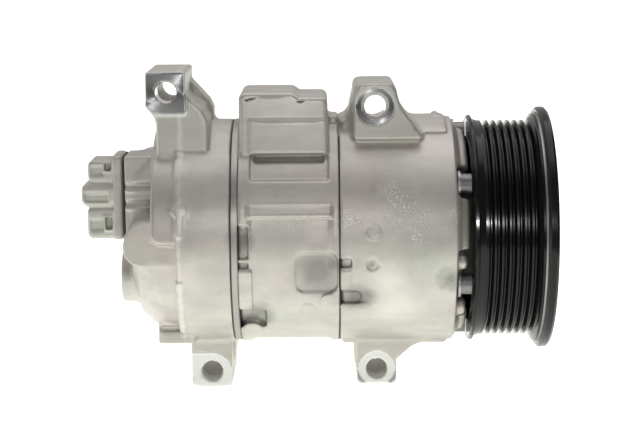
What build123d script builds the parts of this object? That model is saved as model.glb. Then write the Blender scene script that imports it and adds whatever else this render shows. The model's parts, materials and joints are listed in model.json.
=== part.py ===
"""Clutchless variable-displacement swash-plate compressor for a vehicle air conditioner.

Millimetres. +X runs along the shaft to the pulley, +Z is up, the mounting bolts run along Y.
The origin is on the shaft axis, at the middle of the belt.
Angles round the shaft are counted from -Y towards +Z.
"""

from build123d import *
from math import cos, pi, sin, sqrt, tan
import os

# ---- stations along the shaft ----
FRONT_FACE_X = -22.7
JOINT_X = -82.5
BLOCK_REAR_X = -131.0
REAR_FLANGE_X = -134.7
REAR_STEP_X = -160.0
REAR_END_X = -182.0
PORT_FACE_X = -187.0

# ---- casing ----
BODY_R = 56.0
REAR_R = 55.5
GASKET_T = 0.3
CHAMBER_R = 44.0
CHAMBER_FRONT_X = -34.0
LOBE_R = 15.8
FLANGE_SHOULDER_X = -27.0
FLANGE_CHAMFER = ((-24.4, 51.2), (FRONT_FACE_X, 48.5))
FACE_R = 27.0
NOSE_SHOULDER_R = 23.0
NOSE_SHOULDER_X = -12.5
NOSE_R = 17.5
NOSE_END_X = 10.6
SEAL_BORE_R = 13.0
SEAL_BORE_X = -18.0
SMALL_CHAMFER = 0.6
CAST_RADIUS = 3.0

# ---- through bolts ----
BOLTS = 6
BOLT_PITCH_R = 48.0
BOLT_ANGLE = 35.0
BOLT_R = 3.0
BOLT_HOLE_R = 3.3
BOLT_SEAT_X = -26.2
BOLT_HEAD_R = 5.0
BOLT_HEAD_H = 5.4
BOLT_SOCKET_R = 2.4
BOLT_SOCKET_DEPTH = 2.8
BOLT_END_X = -152.0
WASHER_R = 6.4
WASHER_T = 1.2
SPOTFACE_R = 8.3

# ---- mounting ears ----
EAR_BORE_R = 5.2
EAR_BORE_LENGTH = 14.0
EAR_CORE_R = 6.6
EAR_SPOT_DEPTH = 0.6
EAR_SPOT_R = 9.2
UPPER_EAR_Y = (-36.0, 14.0)
LOWER_EAR_Y = (-20.0, 30.0)
EAR_RADIUS = 3.5
FRONT_UPPER_BORE = (-65.2, 64.7)
FRONT_LOWER_BORE = (-64.4, -67.9)
REAR_UPPER_BORE = (-165.2, 72.0)
REAR_LOWER_BORE = (-146.3, -68.8)
FRONT_UPPER_EAR = ((-75.6, 38.0), (-75.6, 75.2), (-55.2, 75.2), (-55.2, 38.0))
FRONT_UPPER_GUSSET = ((-60.0, 40.0), (-60.0, 73.0), (-54.6, 72.0), (-52.6, 66.0), (-43.2, 52.0),
                      (-41.0, 40.0))
FRONT_UPPER_FILLET = ((-82.0, 40.0), (-82.0, 56.0), (-79.0, 61.5), (-75.0, 67.0), (-70.0, 67.0),
                      (-70.0, 40.0))
FRONT_LOWER_EAR = ((-73.9, -40.0), (-73.9, -75.3), (-54.9, -75.3), (-54.9, -40.0))
FRONT_LOWER_GUSSET = ((-60.0, -40.0), (-60.0, -66.0), (-54.9, -63.4), (-40.2, -54.0), (-38.0, -40.0))
REAR_UPPER_EAR = ((-175.2, 62.0), (-175.2, 82.2), (-155.4, 82.2), (-155.4, 62.0))
REAR_UPPER_NECK = ((-170.0, 30.0), (-170.0, 64.0), (-146.0, 64.0), (-146.0, 30.0))
REAR_UPPER_GUSSET = ((-158.0, 62.0), (-158.0, 76.0), (-154.0, 74.6), (-146.4, 66.0), (-144.0, 60.0),
                     (-141.0, 50.0), (-158.0, 40.0))
REAR_LOWER_EAR = ((-156.0, -40.0), (-156.0, -76.4), (-136.4, -76.4), (-136.4, -40.0))
GUSSET_INSET = 5.0

# ---- casing surface: (x from, x to, z from, z to, depth) ----
BLOCK_POCKETS = {
    "window": (-125.0, -88.2, 32.2, 44.6, 3.4),
    "panel": (-125.2, -87.0, -18.6, 15.4, 1.6),
    "dish": (-103.2, -83.4, -22.4, -1.2, 4.4),
    "edge": (-131.2, -125.8, -5.0, 9.6, 2.6),
    "foot": (-131.2, -118.6, -46.0, -37.4, 3.0),
}
BLOCK_PADS = {
    "band": (-125.2, -87.0, 19.6, 31.2, 1.0),
    "stop": (-130.8, -124.8, -31.4, -10.8, 1.6),
    "heel": (-125.2, -86.0, 15.6, 18.6, 0.6),
}
BLOCK_DISCS = ((-88.0, -27.8, 4.0, 1.4), (-98.1, -32.0, 3.4, 1.2))
FRONT_POCKETS = {
    "slot": (-82.4, -77.6, -9.6, -5.6, 1.6),
    "groove": (-82.4, -68.4, -27.6, -22.4, 2.4),
    "mark": (-66.8, -65.6, 24.0, 30.6, 0.5),
}
FRONT_PADS = {
    "key": (-82.2, -78.0, -21.0, -11.4, 1.6),
    "shelf": (-82.2, -69.4, -30.6, -27.8, 1.0),
    "ridge": (-40.6, -29.2, 49.6, 51.0, 1.0),
}
FRONT_RECESSES = ((-67.3, -8.5, 2.9, 1.2),)
FRONT_DISCS = ((-67.1, 7.0, 3.6, 0.5),)
SIDE_NEAR_Y = -70.0
SIDE_FAR_Y = -8.0
BLOCK_BUMP_HIGH = (-131.0, -103.4)
BLOCK_BUMP_LOW = (-104.0, -88.0)
BLOCK_BUMP_HIGH_YZ = ((-38.4, 34.0), (-36.6, 71.6), (11.0, 71.6), (24.0, 34.0))
BLOCK_BUMP_LOW_YZ = ((-38.4, 34.0), (-36.6, 69.3), (11.0, 69.3), (24.0, 34.0))
TOP_SLOTS = ((-128.0, -122.4, 71.7, 2.2), (-103.0, -98.6, 69.4, 1.8))
TOP_SLOT_Y = (-36.0, -29.0)
FRONT_NOTCH_ANGLES = (-50.0, -3.0)
FRONT_NOTCH_X = -26.2
FRONT_NOTCH_R = 42.6

# ---- rear end ----
REAR_DOME = ((REAR_STEP_X, 0.0), (REAR_STEP_X, 50.5), (-168.5, 47.2), (-175.0, 43.0), (REAR_END_X, 33.5),
             (REAR_END_X, 0.0))
REAR_RIB = (-160.6, -156.8, 2.0, 43.0, 1.2)
FOOT_BLOCK = (-172.8, -157.0, -18.0, 22.0, -56.2, -40.0)
PORT_BLOCK = (PORT_FACE_X, -168.0, -27.0, 0.0, -2.0, 41.0)
PORT_FLUTES_Z = (26.0, 17.4)
PORT_FLUTE_R = 1.8
VALVE_BOSS = (-185.8, -160.4, -9.6, 11.8)
VALVE_BOSS_Y = (-41.0, 45.0)
VALVE_BOSS_RADIUS = 8.5
VALVE_BORE_XZ = (-170.0, 1.0)
VALVE_BORE_R = 7.0
VALVE_MOUTH_R = 9.6
VALVE_BLIND_Y = -34.0
VALVE_STEP_Y = 27.0
END_BOSS = (-190.4, -170.0, 13.0, -15.0, -20.2)
END_BOSS_RECESS_R = 9.4
END_BOSS_RECESS_DEPTH = 2.4
SUCTION_CHAMBER = (30.0, 42.0)
DISCHARGE_CHAMBER_R = 25.0
CHAMBER_DEPTH = 15.0

# ---- ports and their cover ----
PORT_Y = -14.0
DISCHARGE_PORT_Z = 32.6
SUCTION_PORT_Z = 8.4
PORT_BOLT_Z = 21.2
DISCHARGE_PORT_R = 5.6
SUCTION_PORT_R = 7.4
PORT_CLEAR = 0.25
SUCTION_PORT_DEPTH = 9.0
DISCHARGE_PORT_DEPTH = 24.0
PORT_LAND_DEPTH = 10.0
GALLERY_R = 3.6
PORT_THREAD_R = 3.0
PORT_THREAD_DEPTH = 14.0
COVER_GASKET_T = 0.8
COVER_FLANGE_T = 5.2
COVER_Y = (-27.0, -1.0)
COVER_Z = (-0.6, 40.6)
COVER_CORNER_R = 6.0
UPPER_LOBE = (-204.8, 27.2, 38.0)
MIDDLE_LOBE = (-207.4, 15.2, 27.2)
LOWER_LOBE = (-205.4, -0.4, 15.2)
LOBE_Y = (-24.0, -4.0)
LOBE_CORNER_R = 4.0
LOBE_SPIGOT = 4.0
LOBE_RECESS = (-203.4, -198.6, 1.2)
COVER_BOLT_HEAD = (4.8, 6.0)
COVER_BOLT_SEAT = 7.0
COVER_BOLT_WELL_R = 5.0
COVER_BOLT_SOCKET = (2.9, 3.0)
COVER_GASKET_INSET = 0.4

# ---- valve plate stack ----
STACK = (("cylinder_gasket", 0.3), ("suction_reed_plate", 0.3), ("valve_plate", 2.3),
         ("discharge_reed_plate", 0.3), ("retainer_gasket", 0.5))
SUCTION_HOLE_R = 4.2
SUCTION_HOLE_PITCH_R = 36.5
DISCHARGE_HOLE_R = 3.4
DISCHARGE_HOLE_PITCH_R = 21.0
REED_W = 9.0
REED_SLOT = 0.8
REED_ROOT_R = 25.5
PLATE_CENTRE_R = 3.0
PETAL_BRIDGES = 3

# ---- cylinders, pistons, shoes ----
CYLINDERS = 6
CYLINDER_ANGLE = 5.0
CYLINDER_PITCH_R = 34.0
CYLINDER_R = 15.0
PISTON_R = 14.96
PISTON_CROWN_X = -130.5
PISTON_SKIRT_X = -104.5
PISTON_NECK_R = 14.5
PISTON_JAW_HALF = 13.0
PISTON_SLOT_HALF = 6.2
PISTON_BRIDGE_R = 43.2
PISTON_WAIST_R = 36.0
PISTON_HOLLOW_R = 11.0
PISTON_HOLLOW_X = (-126.5, -108.5)
RING_GROOVE_X = (-127.4, -122.4)
RING_W = 1.8
RING_DEPTH = 1.0
SHOE_SPHERE_R = 9.0
SHOE_FIT = 0.03
SHOE_POLE_CUT = 0.5

# ---- swash plate and drive ----
PLATE_X = -72.0
PLATE_HALF = 4.5
PLATE_R = 42.0
PLATE_BORE_R = 9.4
PLATE_HUB_R = 17.0
PLATE_HUB_X = (-77.5, -57.0)
LUG_X = (-47.5, -37.7)
LUG_R = 38.0
LUG_BORE_R = 9.0
LUG_FACE_RELIEF = (13.0, 18.0, 1.2)
ARM_ANGLE = 5.0
ARM_HALF = 9.0
ARM_THICK = 5.0
LUG_ARM = (20.0, 31.0, -58.4)
PLATE_ARM = (12.2, 30.0, -58.4, -50.5)
PLATE_ARM_HALF = 5.6
GUIDE_PIN_R = 2.5
GUIDE_PIN_AT = (-54.4, 25.0)
GUIDE_SLOT = 3.4
SHAFT_R = 9.0
SHAFT_REAR_X = -124.5
SHAFT_SEAL_R = 8.0
SHAFT_SPLINE_R = 6.4
SHAFT_THREAD_R = 4.9
SHAFT_STEPS_X = (-20.5, 4.5, 14.0, 24.6)
SPRING_WIRE_R = 0.8
SPRING_R = 10.6
TILT_SPRING_X = (-56.95, -47.55)
RETURN_SPRING_X = (-87.6, -78.6)
SPRING_TURNS = 3.0
SNAP_X = -89.2
SNAP_T = 1.2
SNAP_R = 11.6

# ---- bearings ----
RUN = 0.05
NEEDLE_R = 1.25
NEEDLES = 18
CUP_R = 12.6
FRONT_CUP_X = (-33.5, -20.5)
REAR_CUP_X = (-124.5, -111.5)
CUP_LIP = 0.9
CUP_LIP_R = 10.6
CAGE_BAND = (9.5, 11.2)
CAGE_BAND_T = 0.9
THRUST_RACE = (20.0, 34.0, 1.0)
THRUST_NEEDLES = 24
THRUST_NEEDLE_SPAN = (22.5, 31.5)
THRUST_CAGE = (21.0, 33.0, 1.3)
BALL_BEARING_X = (-11.5, 8.5)
BALL_BEARING_R = (17.5, 26.0)
BALL_R = 3.0
BALL_PITCH_R = 21.75
BALL_ROWS_X = (-6.3, 3.3)
BALLS = 14
BALL_RACE_STEP = 1.7
BALL_CAGE = (20.9, 22.6)
BEARING_SNAP = (15.9, 19.6, 8.7, 10.0)

# ---- shaft seal ----
SEAL_CASE_X = (-13.0, -3.0)
SEAL_CASE_WALL = 1.2
SEAL_LIP_GAP = 0.04
SEAL_LIP_REACH = 4.8
SEAL_SNAP = (10.6, 13.9, -2.7, -1.3)

# ---- pulley ----
GROOVES = 7
GROOVE_PITCH = 3.56
GROOVE_DEPTH = 2.9
GROOVE_FLAT = 0.5
GROOVE_FLANK = pi / 9
RIB_R = 53.7
REAR_RIM = ((-19.0, 46.0), (-19.0, 55.2), (-18.3, 56.4), (-17.0, 56.4), (-16.2, 54.6))
FRONT_RIM = ((12.9, 55.2), (13.5, 56.8), (14.7, 56.8), (14.7, 46.0))
RIM_INNER_R = 46.0
WEB_X = (-3.0, 5.0)
PULLEY_SEAT_R = 31.0
PULLEY_SEAT_X = (-12.5, 9.5)
SHIM = (44.2, 57.6, 14.7, 15.5)
OUTER_RING = ((15.5, 44.0), (15.5, 58.9), (16.7, 60.3), (19.4, 60.3), (20.6, 59.2), (20.6, 55.4),
              (18.6, 53.6), (18.6, 44.0))
DAMPER = (30.0, 44.0, 10.5, 17.6)
DAMPER_LOBES = 6
DAMPER_LOBE_R = 4.2
HUB_PLATE = (30.0, 15.2, 18.4)
HUB_BOSS_R = 11.5
HUB_BOSS_X = (5.0, 18.4)
HUB_RIM = (27.5, 30.0, 10.5)
HUB_HOLES = 3
HUB_HOLE_R = 2.6
HUB_HOLE_PITCH_R = 19.5
NUT = (8.0, 18.4, 25.2)
NUT_WASHER = (9.6, 1.6)

# ---- control valve ----
VALVE_BODY_R = 6.9
VALVE_BODY_Y = (-33.0, 26.6)
VALVE_RINGS_Y = (-22.0, -6.0, 10.0)
VALVE_RING_W = 1.8
VALVE_RING_DEPTH = 1.1
SOLENOID_R = 9.4
SOLENOID_Y = (27.4, 52.0)
VALVE_SNAP = (9.9, 43.0, 44.4)
CONNECTOR = (-176.5, -163.5, 52.0, 66.0, -3.6, 5.6)
CONNECTOR_WALL = 1.3
CONNECTOR_DEPTH = 9.0
CONNECTOR_PIN = (0.6, 4.2, 2.2)
CONNECTOR_CORNER_R = 2.0

# ---- discharge check valve ----
CHECK_X = (-176.5, -164.5)
CHECK_R = 5.0
CHECK_SEAT_R = 2.6
CHECK_WALL = 0.9
CHECK_POPPET = (3.4, -168.6, -165.5)


def rod(r, x0, x1, y=0.0, z=0.0):
    """A cylinder along X."""
    return Pos((x0 + x1) / 2, y, z) * Rot(0, 90, 0) * Cylinder(r, abs(x1 - x0))


def rod_y(r, y0, y1, x, z):
    """A cylinder along Y."""
    return Pos(x, (y0 + y1) / 2, z) * Rot(90, 0, 0) * Cylinder(r, abs(y1 - y0))


def ring(r_in, r_out, x0, x1):
    """A tube round the shaft axis."""
    return rod(r_out, x0, x1) - rod(r_in, min(x0, x1) - 1, max(x0, x1) + 1)


def slab(x0, x1, y0, y1, z0, z1):
    """A box between six planes."""
    return Pos((x0 + x1) / 2, (y0 + y1) / 2, (z0 + z1) / 2) * Box(abs(x1 - x0), abs(y1 - y0), abs(z1 - z0))


def hexagon(r, x0, x1, y=0.0, z=0.0):
    """A hexagonal bar along X, with its corners at a radius."""
    return extrude(Plane(origin=(x0, y, z), z_dir=(1, 0, 0)) * RegularPolygon(r, 6), x1 - x0)


def turned(points):
    """A solid of revolution about the shaft from (x, radius) points."""
    return revolve(make_face(Polyline(*points, close=True)), Axis.X)


def cut_along_y(points, y0, y1, radius=0.0):
    """A prism along Y from (x, z) points, with its long edges rounded."""
    face = Plane.XZ * make_face(Polyline(*points, close=True))
    solid = Pos(0, y1, 0) * extrude(face, y1 - y0)
    return fillet(solid.edges().filter_by(Axis.Y), radius) if radius else solid


def cut_along_x(points, x0, x1, radius=0.0):
    """A prism along X from (y, z) points, with its long edges rounded."""
    face = Plane.YZ * make_face(Polyline(*points, close=True))
    solid = Pos(x0, 0, 0) * extrude(face, x1 - x0)
    return fillet(solid.edges().filter_by(Axis.X), radius) if radius else solid


def at_angle(shape, angle):
    """Carries a shape built on the -Y side round the shaft to an angle."""
    return Rot(-angle, 0, 0) * shape


def spread(shape, count, start=0.0):
    """Copies of a shape, evenly spaced round the shaft."""
    return [at_angle(shape, start + 360.0 * i / count) for i in range(count)]


def joined(shapes):
    """One shape from several that overlap."""
    first, *rest = shapes
    return first.fuse(*rest) if rest else first


def near_side(spec):
    """The part of space over one side panel of the casing."""
    x0, x1, z0, z1, _ = spec
    return slab(x0, x1, SIDE_NEAR_Y, SIDE_FAR_Y, z0, z1)


def pocket(spec):
    """A pocket in the near side of the casing, with a floor that follows the casing."""
    x0, x1, _, _, depth = spec
    return near_side(spec) - rod(BODY_R - depth, x0 - 1, x1 + 1)


def pad(spec):
    """A raised pad on the near side of the casing."""
    x0, x1, _, _, height = spec
    return near_side(spec) & ring(BODY_R - CAST_RADIUS, BODY_R + height, x0 - 1, x1 + 1)


def disc(x, z, r, height):
    """A round raised mark on the near side of the casing."""
    post = rod_y(r, SIDE_NEAR_Y, SIDE_FAR_Y, x, z)
    return post & ring(BODY_R - CAST_RADIUS, BODY_R + height, x - r - 1, x + r + 1)


def recess(x, z, r, depth):
    """A round recess in the near side of the casing."""
    return rod_y(r, SIDE_NEAR_Y, SIDE_FAR_Y, x, z) - rod(BODY_R - depth, x - r - 1, x + r + 1)


def ear_hole(bore, span):
    """The bolt bore, its spotface and the wider cored hole behind it."""
    x, z = bore
    y0, y1 = span
    land_end = y0 + EAR_SPOT_DEPTH + EAR_BORE_LENGTH
    return [
        rod_y(EAR_SPOT_R, y0 - 1, y0 + EAR_SPOT_DEPTH, x, z),
        rod_y(EAR_BORE_R, y0 - 1, y1 + 1, x, z),
        rod_y(EAR_CORE_R, land_end, y1 + 1, x, z),
    ]


def bolt_holes(x0, x1, r=BOLT_HOLE_R):
    return spread(rod(r, x0, x1, -BOLT_PITCH_R), BOLTS, BOLT_ANGLE)


def crank_chamber(x0, x1):
    """The hollow round the swash plate, with a lobe for each piston."""
    lobes = spread(rod(LOBE_R, x0, x1, -CYLINDER_PITCH_R), CYLINDERS, CYLINDER_ANGLE)
    return joined([rod(CHAMBER_R, x0, x1), *lobes])


def front_flange_notch():
    """The wide notch in the front flange."""
    low, high = FRONT_NOTCH_ANGLES
    band = ring(FRONT_NOTCH_R, BODY_R + 2, FRONT_NOTCH_X, FRONT_FACE_X + 1)
    upper = at_angle(slab(FRONT_NOTCH_X - 1, FRONT_FACE_X + 2, -BODY_R * 2, 0, -BODY_R * 2, 0), high)
    lower = at_angle(slab(FRONT_NOTCH_X - 1, FRONT_FACE_X + 2, -BODY_R * 2, 0, 0, BODY_R * 2), low)
    return band & upper & lower


def front_housing():
    shell = turned([
        (JOINT_X, 0), (JOINT_X, BODY_R), (FLANGE_SHOULDER_X, BODY_R), *FLANGE_CHAMFER, (FRONT_FACE_X, FACE_R),
        (NOSE_SHOULDER_X, NOSE_SHOULDER_R), (NOSE_SHOULDER_X, NOSE_R), (NOSE_END_X - SMALL_CHAMFER, NOSE_R),
        (NOSE_END_X, NOSE_R - SMALL_CHAMFER), (NOSE_END_X, 0),
    ])
    y0, y1 = UPPER_EAR_Y
    u0, u1 = LOWER_EAR_Y
    solid = joined([
        shell,
        cut_along_y(FRONT_UPPER_EAR, y0, y1, EAR_RADIUS),
        cut_along_y(FRONT_UPPER_GUSSET, y0 + GUSSET_INSET, y1 - GUSSET_INSET),
        cut_along_y(FRONT_UPPER_FILLET, y0 + GUSSET_INSET, y1 - GUSSET_INSET),
        cut_along_y(FRONT_LOWER_EAR, u0, u1, EAR_RADIUS),
        cut_along_y(FRONT_LOWER_GUSSET, u0 + GUSSET_INSET, u1 - GUSSET_INSET),
        *[pad(spec) for spec in FRONT_PADS.values()],
        *[disc(*spec) for spec in FRONT_DISCS],
    ])
    snap_r_in, snap_r_out, snap_x0, snap_x1 = SEAL_SNAP
    clip_r, _, clip_x0, clip_x1 = BEARING_SNAP
    cutters = [
        crank_chamber(JOINT_X - 1, CHAMBER_FRONT_X),
        rod(CUP_R, CHAMBER_FRONT_X - 1, FRONT_CUP_X[1]),
        rod(CAGE_BAND[1], CHAMBER_FRONT_X - 1, SEAL_BORE_X + 1),
        rod(SEAL_BORE_R, SEAL_BORE_X, NOSE_END_X + 1),
        ring(snap_r_in, snap_r_out, snap_x0, snap_x1),
        ring(clip_r, NOSE_R + 1, clip_x0, clip_x1),
        front_flange_notch(),
        *bolt_holes(JOINT_X - 1, FRONT_FACE_X + 1),
        *spread(rod(SPOTFACE_R, BOLT_SEAT_X, FRONT_FACE_X + 2, -BOLT_PITCH_R), BOLTS, BOLT_ANGLE),
        *[pocket(spec) for spec in FRONT_POCKETS.values()],
        *[recess(*spec) for spec in FRONT_RECESSES],
        *ear_hole(FRONT_UPPER_BORE, UPPER_EAR_Y),
        *ear_hole(FRONT_LOWER_BORE, LOWER_EAR_Y),
    ]
    return solid.cut(*cutters)


def cylinder_block():
    high = cut_along_x(BLOCK_BUMP_HIGH_YZ, *BLOCK_BUMP_HIGH, CAST_RADIUS)
    low = cut_along_x(BLOCK_BUMP_LOW_YZ, *BLOCK_BUMP_LOW, CAST_RADIUS)
    solid = joined([
        rod(BODY_R, BLOCK_REAR_X, JOINT_X - GASKET_T),
        high,
        low,
        *[pad(spec) for spec in BLOCK_PADS.values()],
        *[disc(*spec) for spec in BLOCK_DISCS],
    ])
    slot_y0, slot_y1 = TOP_SLOT_Y
    cutters = [
        *spread(rod(CYLINDER_R, BLOCK_REAR_X - 1, JOINT_X + 1, -CYLINDER_PITCH_R), CYLINDERS, CYLINDER_ANGLE),
        rod(CUP_R, BLOCK_REAR_X - 1, JOINT_X + 1),
        *bolt_holes(BLOCK_REAR_X - 1, JOINT_X + 1),
        *[pocket(spec) for spec in BLOCK_POCKETS.values()],
        *[slab(x0, x1, slot_y0, slot_y1, z - deep, z + 1) for x0, x1, z, deep in TOP_SLOTS],
    ]
    return solid.cut(*cutters)


def rear_chambers():
    """The ring-shaped suction chamber and the round discharge chamber behind the valve plate."""
    inner, outer = SUCTION_CHAMBER
    end = REAR_FLANGE_X - CHAMBER_DEPTH
    return [ring(inner, outer, end, REAR_FLANGE_X + 1), rod(DISCHARGE_CHAMBER_R, end, REAR_FLANGE_X + 1)]


def gallery(start, end):
    """A straight drilled passage between two points."""
    line = Line(start, end)
    return extrude(Plane(origin=start, z_dir=line.tangent_at(0)) * Circle(GALLERY_R), line.length)


def port_bores():
    """The two ports, the thread between them and the passages behind them."""
    inner, outer = SUCTION_CHAMBER
    chamber_x = REAR_FLANGE_X - CHAMBER_DEPTH + GALLERY_R
    suction_end = (chamber_x, -(inner + outer) / 2 * cos(pi / 4), (inner + outer) / 2 * sin(pi / 4))
    discharge_end = (chamber_x, PORT_Y, DISCHARGE_CHAMBER_R / 2)
    suction_start = (PORT_FACE_X + SUCTION_PORT_DEPTH - GALLERY_R, PORT_Y, SUCTION_PORT_Z + GALLERY_R)
    discharge_start = (PORT_FACE_X + DISCHARGE_PORT_DEPTH - GALLERY_R, PORT_Y, DISCHARGE_PORT_Z)
    return [
        rod(SUCTION_PORT_R, PORT_FACE_X - 1, PORT_FACE_X + SUCTION_PORT_DEPTH, PORT_Y, SUCTION_PORT_Z),
        rod(DISCHARGE_PORT_R, PORT_FACE_X - 1, PORT_FACE_X + PORT_LAND_DEPTH, PORT_Y, DISCHARGE_PORT_Z),
        rod(CHECK_R, PORT_FACE_X - 1, PORT_FACE_X + DISCHARGE_PORT_DEPTH, PORT_Y, DISCHARGE_PORT_Z),
        rod(PORT_THREAD_R, PORT_FACE_X - 1, PORT_FACE_X + PORT_THREAD_DEPTH, PORT_Y, PORT_BOLT_Z),
        gallery(suction_start, suction_end),
        gallery(discharge_start, discharge_end),
    ]


def port_flutes():
    """Two grooves along the near face of the port block."""
    x0, x1, y0, *_ = PORT_BLOCK
    return [rod(PORT_FLUTE_R, x0 - 1, x1, y0, z) for z in PORT_FLUTES_Z]


def rear_housing():
    y0, y1 = UPPER_EAR_Y
    u0, u1 = LOWER_EAR_Y
    bx0, bx1, bz0, bz1 = VALVE_BOSS
    boss = ((bx0, bz0), (bx0, bz1), (bx1, bz1), (bx1, bz0))
    end_x0, end_x1, end_r, end_y, end_z = END_BOSS
    solid = joined([
        rod(REAR_R, REAR_STEP_X, REAR_FLANGE_X),
        turned(REAR_DOME),
        cut_along_y(REAR_UPPER_EAR, y0, y1, EAR_RADIUS),
        cut_along_y(REAR_UPPER_NECK, y0 + GUSSET_INSET / 2, y1 - GUSSET_INSET / 2, CAST_RADIUS),
        cut_along_y(REAR_UPPER_GUSSET, y0 + GUSSET_INSET, y1 - GUSSET_INSET),
        cut_along_y(REAR_LOWER_EAR, u0, u1, EAR_RADIUS),
        cut_along_y(boss, *VALVE_BOSS_Y, VALVE_BOSS_RADIUS),
        slab(*PORT_BLOCK),
        slab(*FOOT_BLOCK),
        rod(end_r, end_x0, end_x1, end_y, end_z),
        pad(REAR_RIB),
    ])
    vx, vz = VALVE_BORE_XZ
    cutters = [
        *rear_chambers(),
        *port_bores(),
        *port_flutes(),
        *bolt_holes(BOLT_END_X - 1, REAR_FLANGE_X + 1),
        rod_y(VALVE_BORE_R, VALVE_BLIND_Y, VALVE_BOSS_Y[1] + 1, vx, vz),
        rod_y(VALVE_MOUTH_R, VALVE_STEP_Y, BODY_R, vx, vz),
        rod_y(*VALVE_SNAP, vx, vz),
        rod(END_BOSS_RECESS_R, end_x0 - 1, end_x0 + END_BOSS_RECESS_DEPTH, end_y, end_z),
        *ear_hole(REAR_UPPER_BORE, UPPER_EAR_Y),
        *ear_hole(REAR_LOWER_BORE, LOWER_EAR_Y),
    ]
    return solid.cut(*cutters)


def front_gasket():
    plate = rod(BODY_R - GASKET_T, JOINT_X - GASKET_T, JOINT_X)
    return plate.cut(crank_chamber(JOINT_X - 1, JOINT_X + 1), *bolt_holes(JOINT_X - 1, JOINT_X + 1))


def housing_bolts():
    end_of_head = BOLT_SEAT_X + WASHER_T + BOLT_HEAD_H
    shank = rod(BOLT_R, BOLT_END_X, end_of_head - 1, -BOLT_PITCH_R)
    head = rod(BOLT_HEAD_R, BOLT_SEAT_X + WASHER_T, end_of_head, -BOLT_PITCH_R)
    socket = hexagon(BOLT_SOCKET_R, end_of_head - BOLT_SOCKET_DEPTH, end_of_head + 1, -BOLT_PITCH_R)
    bolt = shank + head - socket
    return spread(bolt, BOLTS, BOLT_ANGLE)


def bolt_washers():
    x0, x1 = BOLT_SEAT_X, BOLT_SEAT_X + WASHER_T
    washer = rod(WASHER_R, x0, x1, -BOLT_PITCH_R) - rod(BOLT_R + GASKET_T, x0 - 1, x1 + 1, -BOLT_PITCH_R)
    return spread(washer, BOLTS, BOLT_ANGLE)


def reed_slots(x0, x1, tip_r):
    """U-shaped slots that free one flexible reed for each cylinder."""
    half = REED_W / 2
    outside = slab(x0, x1, -tip_r - half - REED_SLOT, -REED_ROOT_R, -half - REED_SLOT, half + REED_SLOT)
    inside = slab(x0, x1, -tip_r - half, -REED_ROOT_R + 1, -half, half)
    return spread(outside - inside, CYLINDERS, CYLINDER_ANGLE)


def discharge_petals(x0, x1):
    """A flower of reeds, one over each discharge hole."""
    half = REED_W / 2
    tip = DISCHARGE_HOLE_PITCH_R
    petals = [slab(x0, x1, -tip, 0, -half, half), rod(half, x0, x1, -tip)]
    arms = [at_angle(p, CYLINDER_ANGLE + 360 / CYLINDERS * i) for p in petals for i in range(CYLINDERS)]
    return joined([rod(REED_W, x0, x1), *arms])


def port_holes(x0, x1, suction, discharge):
    """Holes for the chosen ports of every cylinder."""
    holes = []
    if suction:
        holes += spread(rod(SUCTION_HOLE_R, x0, x1, -SUCTION_HOLE_PITCH_R), CYLINDERS, CYLINDER_ANGLE)
    if discharge:
        holes += spread(rod(DISCHARGE_HOLE_R, x0, x1, -DISCHARGE_HOLE_PITCH_R), CYLINDERS, CYLINDER_ANGLE)
    return holes


def valve_stack():
    """The sheets clamped between the cylinder block and the rear housing, front to rear."""
    nodes = {}
    x1 = BLOCK_REAR_X
    for name, thick in STACK:
        x0 = x1 - thick
        disc_r = REAR_R if name == "valve_plate" else REAR_R - GASKET_T
        sheet = rod(disc_r, x0, x1).cut(*bolt_holes(x0 - 1, x1 + 1), rod(PLATE_CENTRE_R, x0 - 1, x1 + 1))
        if name == "cylinder_gasket":
            sheet = sheet.cut(
                *spread(rod(CYLINDER_R, x0 - 1, x1 + 1, -CYLINDER_PITCH_R), CYLINDERS, CYLINDER_ANGLE),
                rod(CUP_R, x0 - 1, x1 + 1),
            )
        elif name == "suction_reed_plate":
            sheet = sheet.cut(
                *reed_slots(x0 - 1, x1 + 1, SUCTION_HOLE_PITCH_R), *port_holes(x0 - 1, x1 + 1, False, True)
            )
        elif name == "valve_plate":
            sheet = sheet.cut(*port_holes(x0 - 1, x1 + 1, True, True))
        elif name == "discharge_reed_plate":
            frame = sheet - rod(DISCHARGE_CHAMBER_R + 1, x0 - 1, x1 + 1)
            petals = discharge_petals(x0, x1) - rod(PLATE_CENTRE_R, x0 - 1, x1 + 1)
            bridge = slab(x0, x1, -DISCHARGE_CHAMBER_R - 2, -REED_W / 2, -1, 1)
            bridges = spread(bridge, PETAL_BRIDGES, CYLINDER_ANGLE + 180 / CYLINDERS)
            sheet = frame.fuse(petals, *bridges)
            sheet = sheet.cut(
                *port_holes(x0 - 1, x1 + 1, True, False), rod(PLATE_CENTRE_R, x0 - 1, x1 + 1)
            )
        else:
            inner, outer = SUCTION_CHAMBER
            bridges = spread(slab(x0 - 1, x1 + 1, -outer - 1, -inner + 1, -1, 1), BOLTS, BOLT_ANGLE)
            windows = ring(inner, outer, x0 - 1, x1 + 1).cut(*bridges)
            sheet = sheet.cut(windows, rod(DISCHARGE_CHAMBER_R, x0 - 1, x1 + 1))
        nodes[name] = sheet
        x1 = x0
    return nodes


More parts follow.
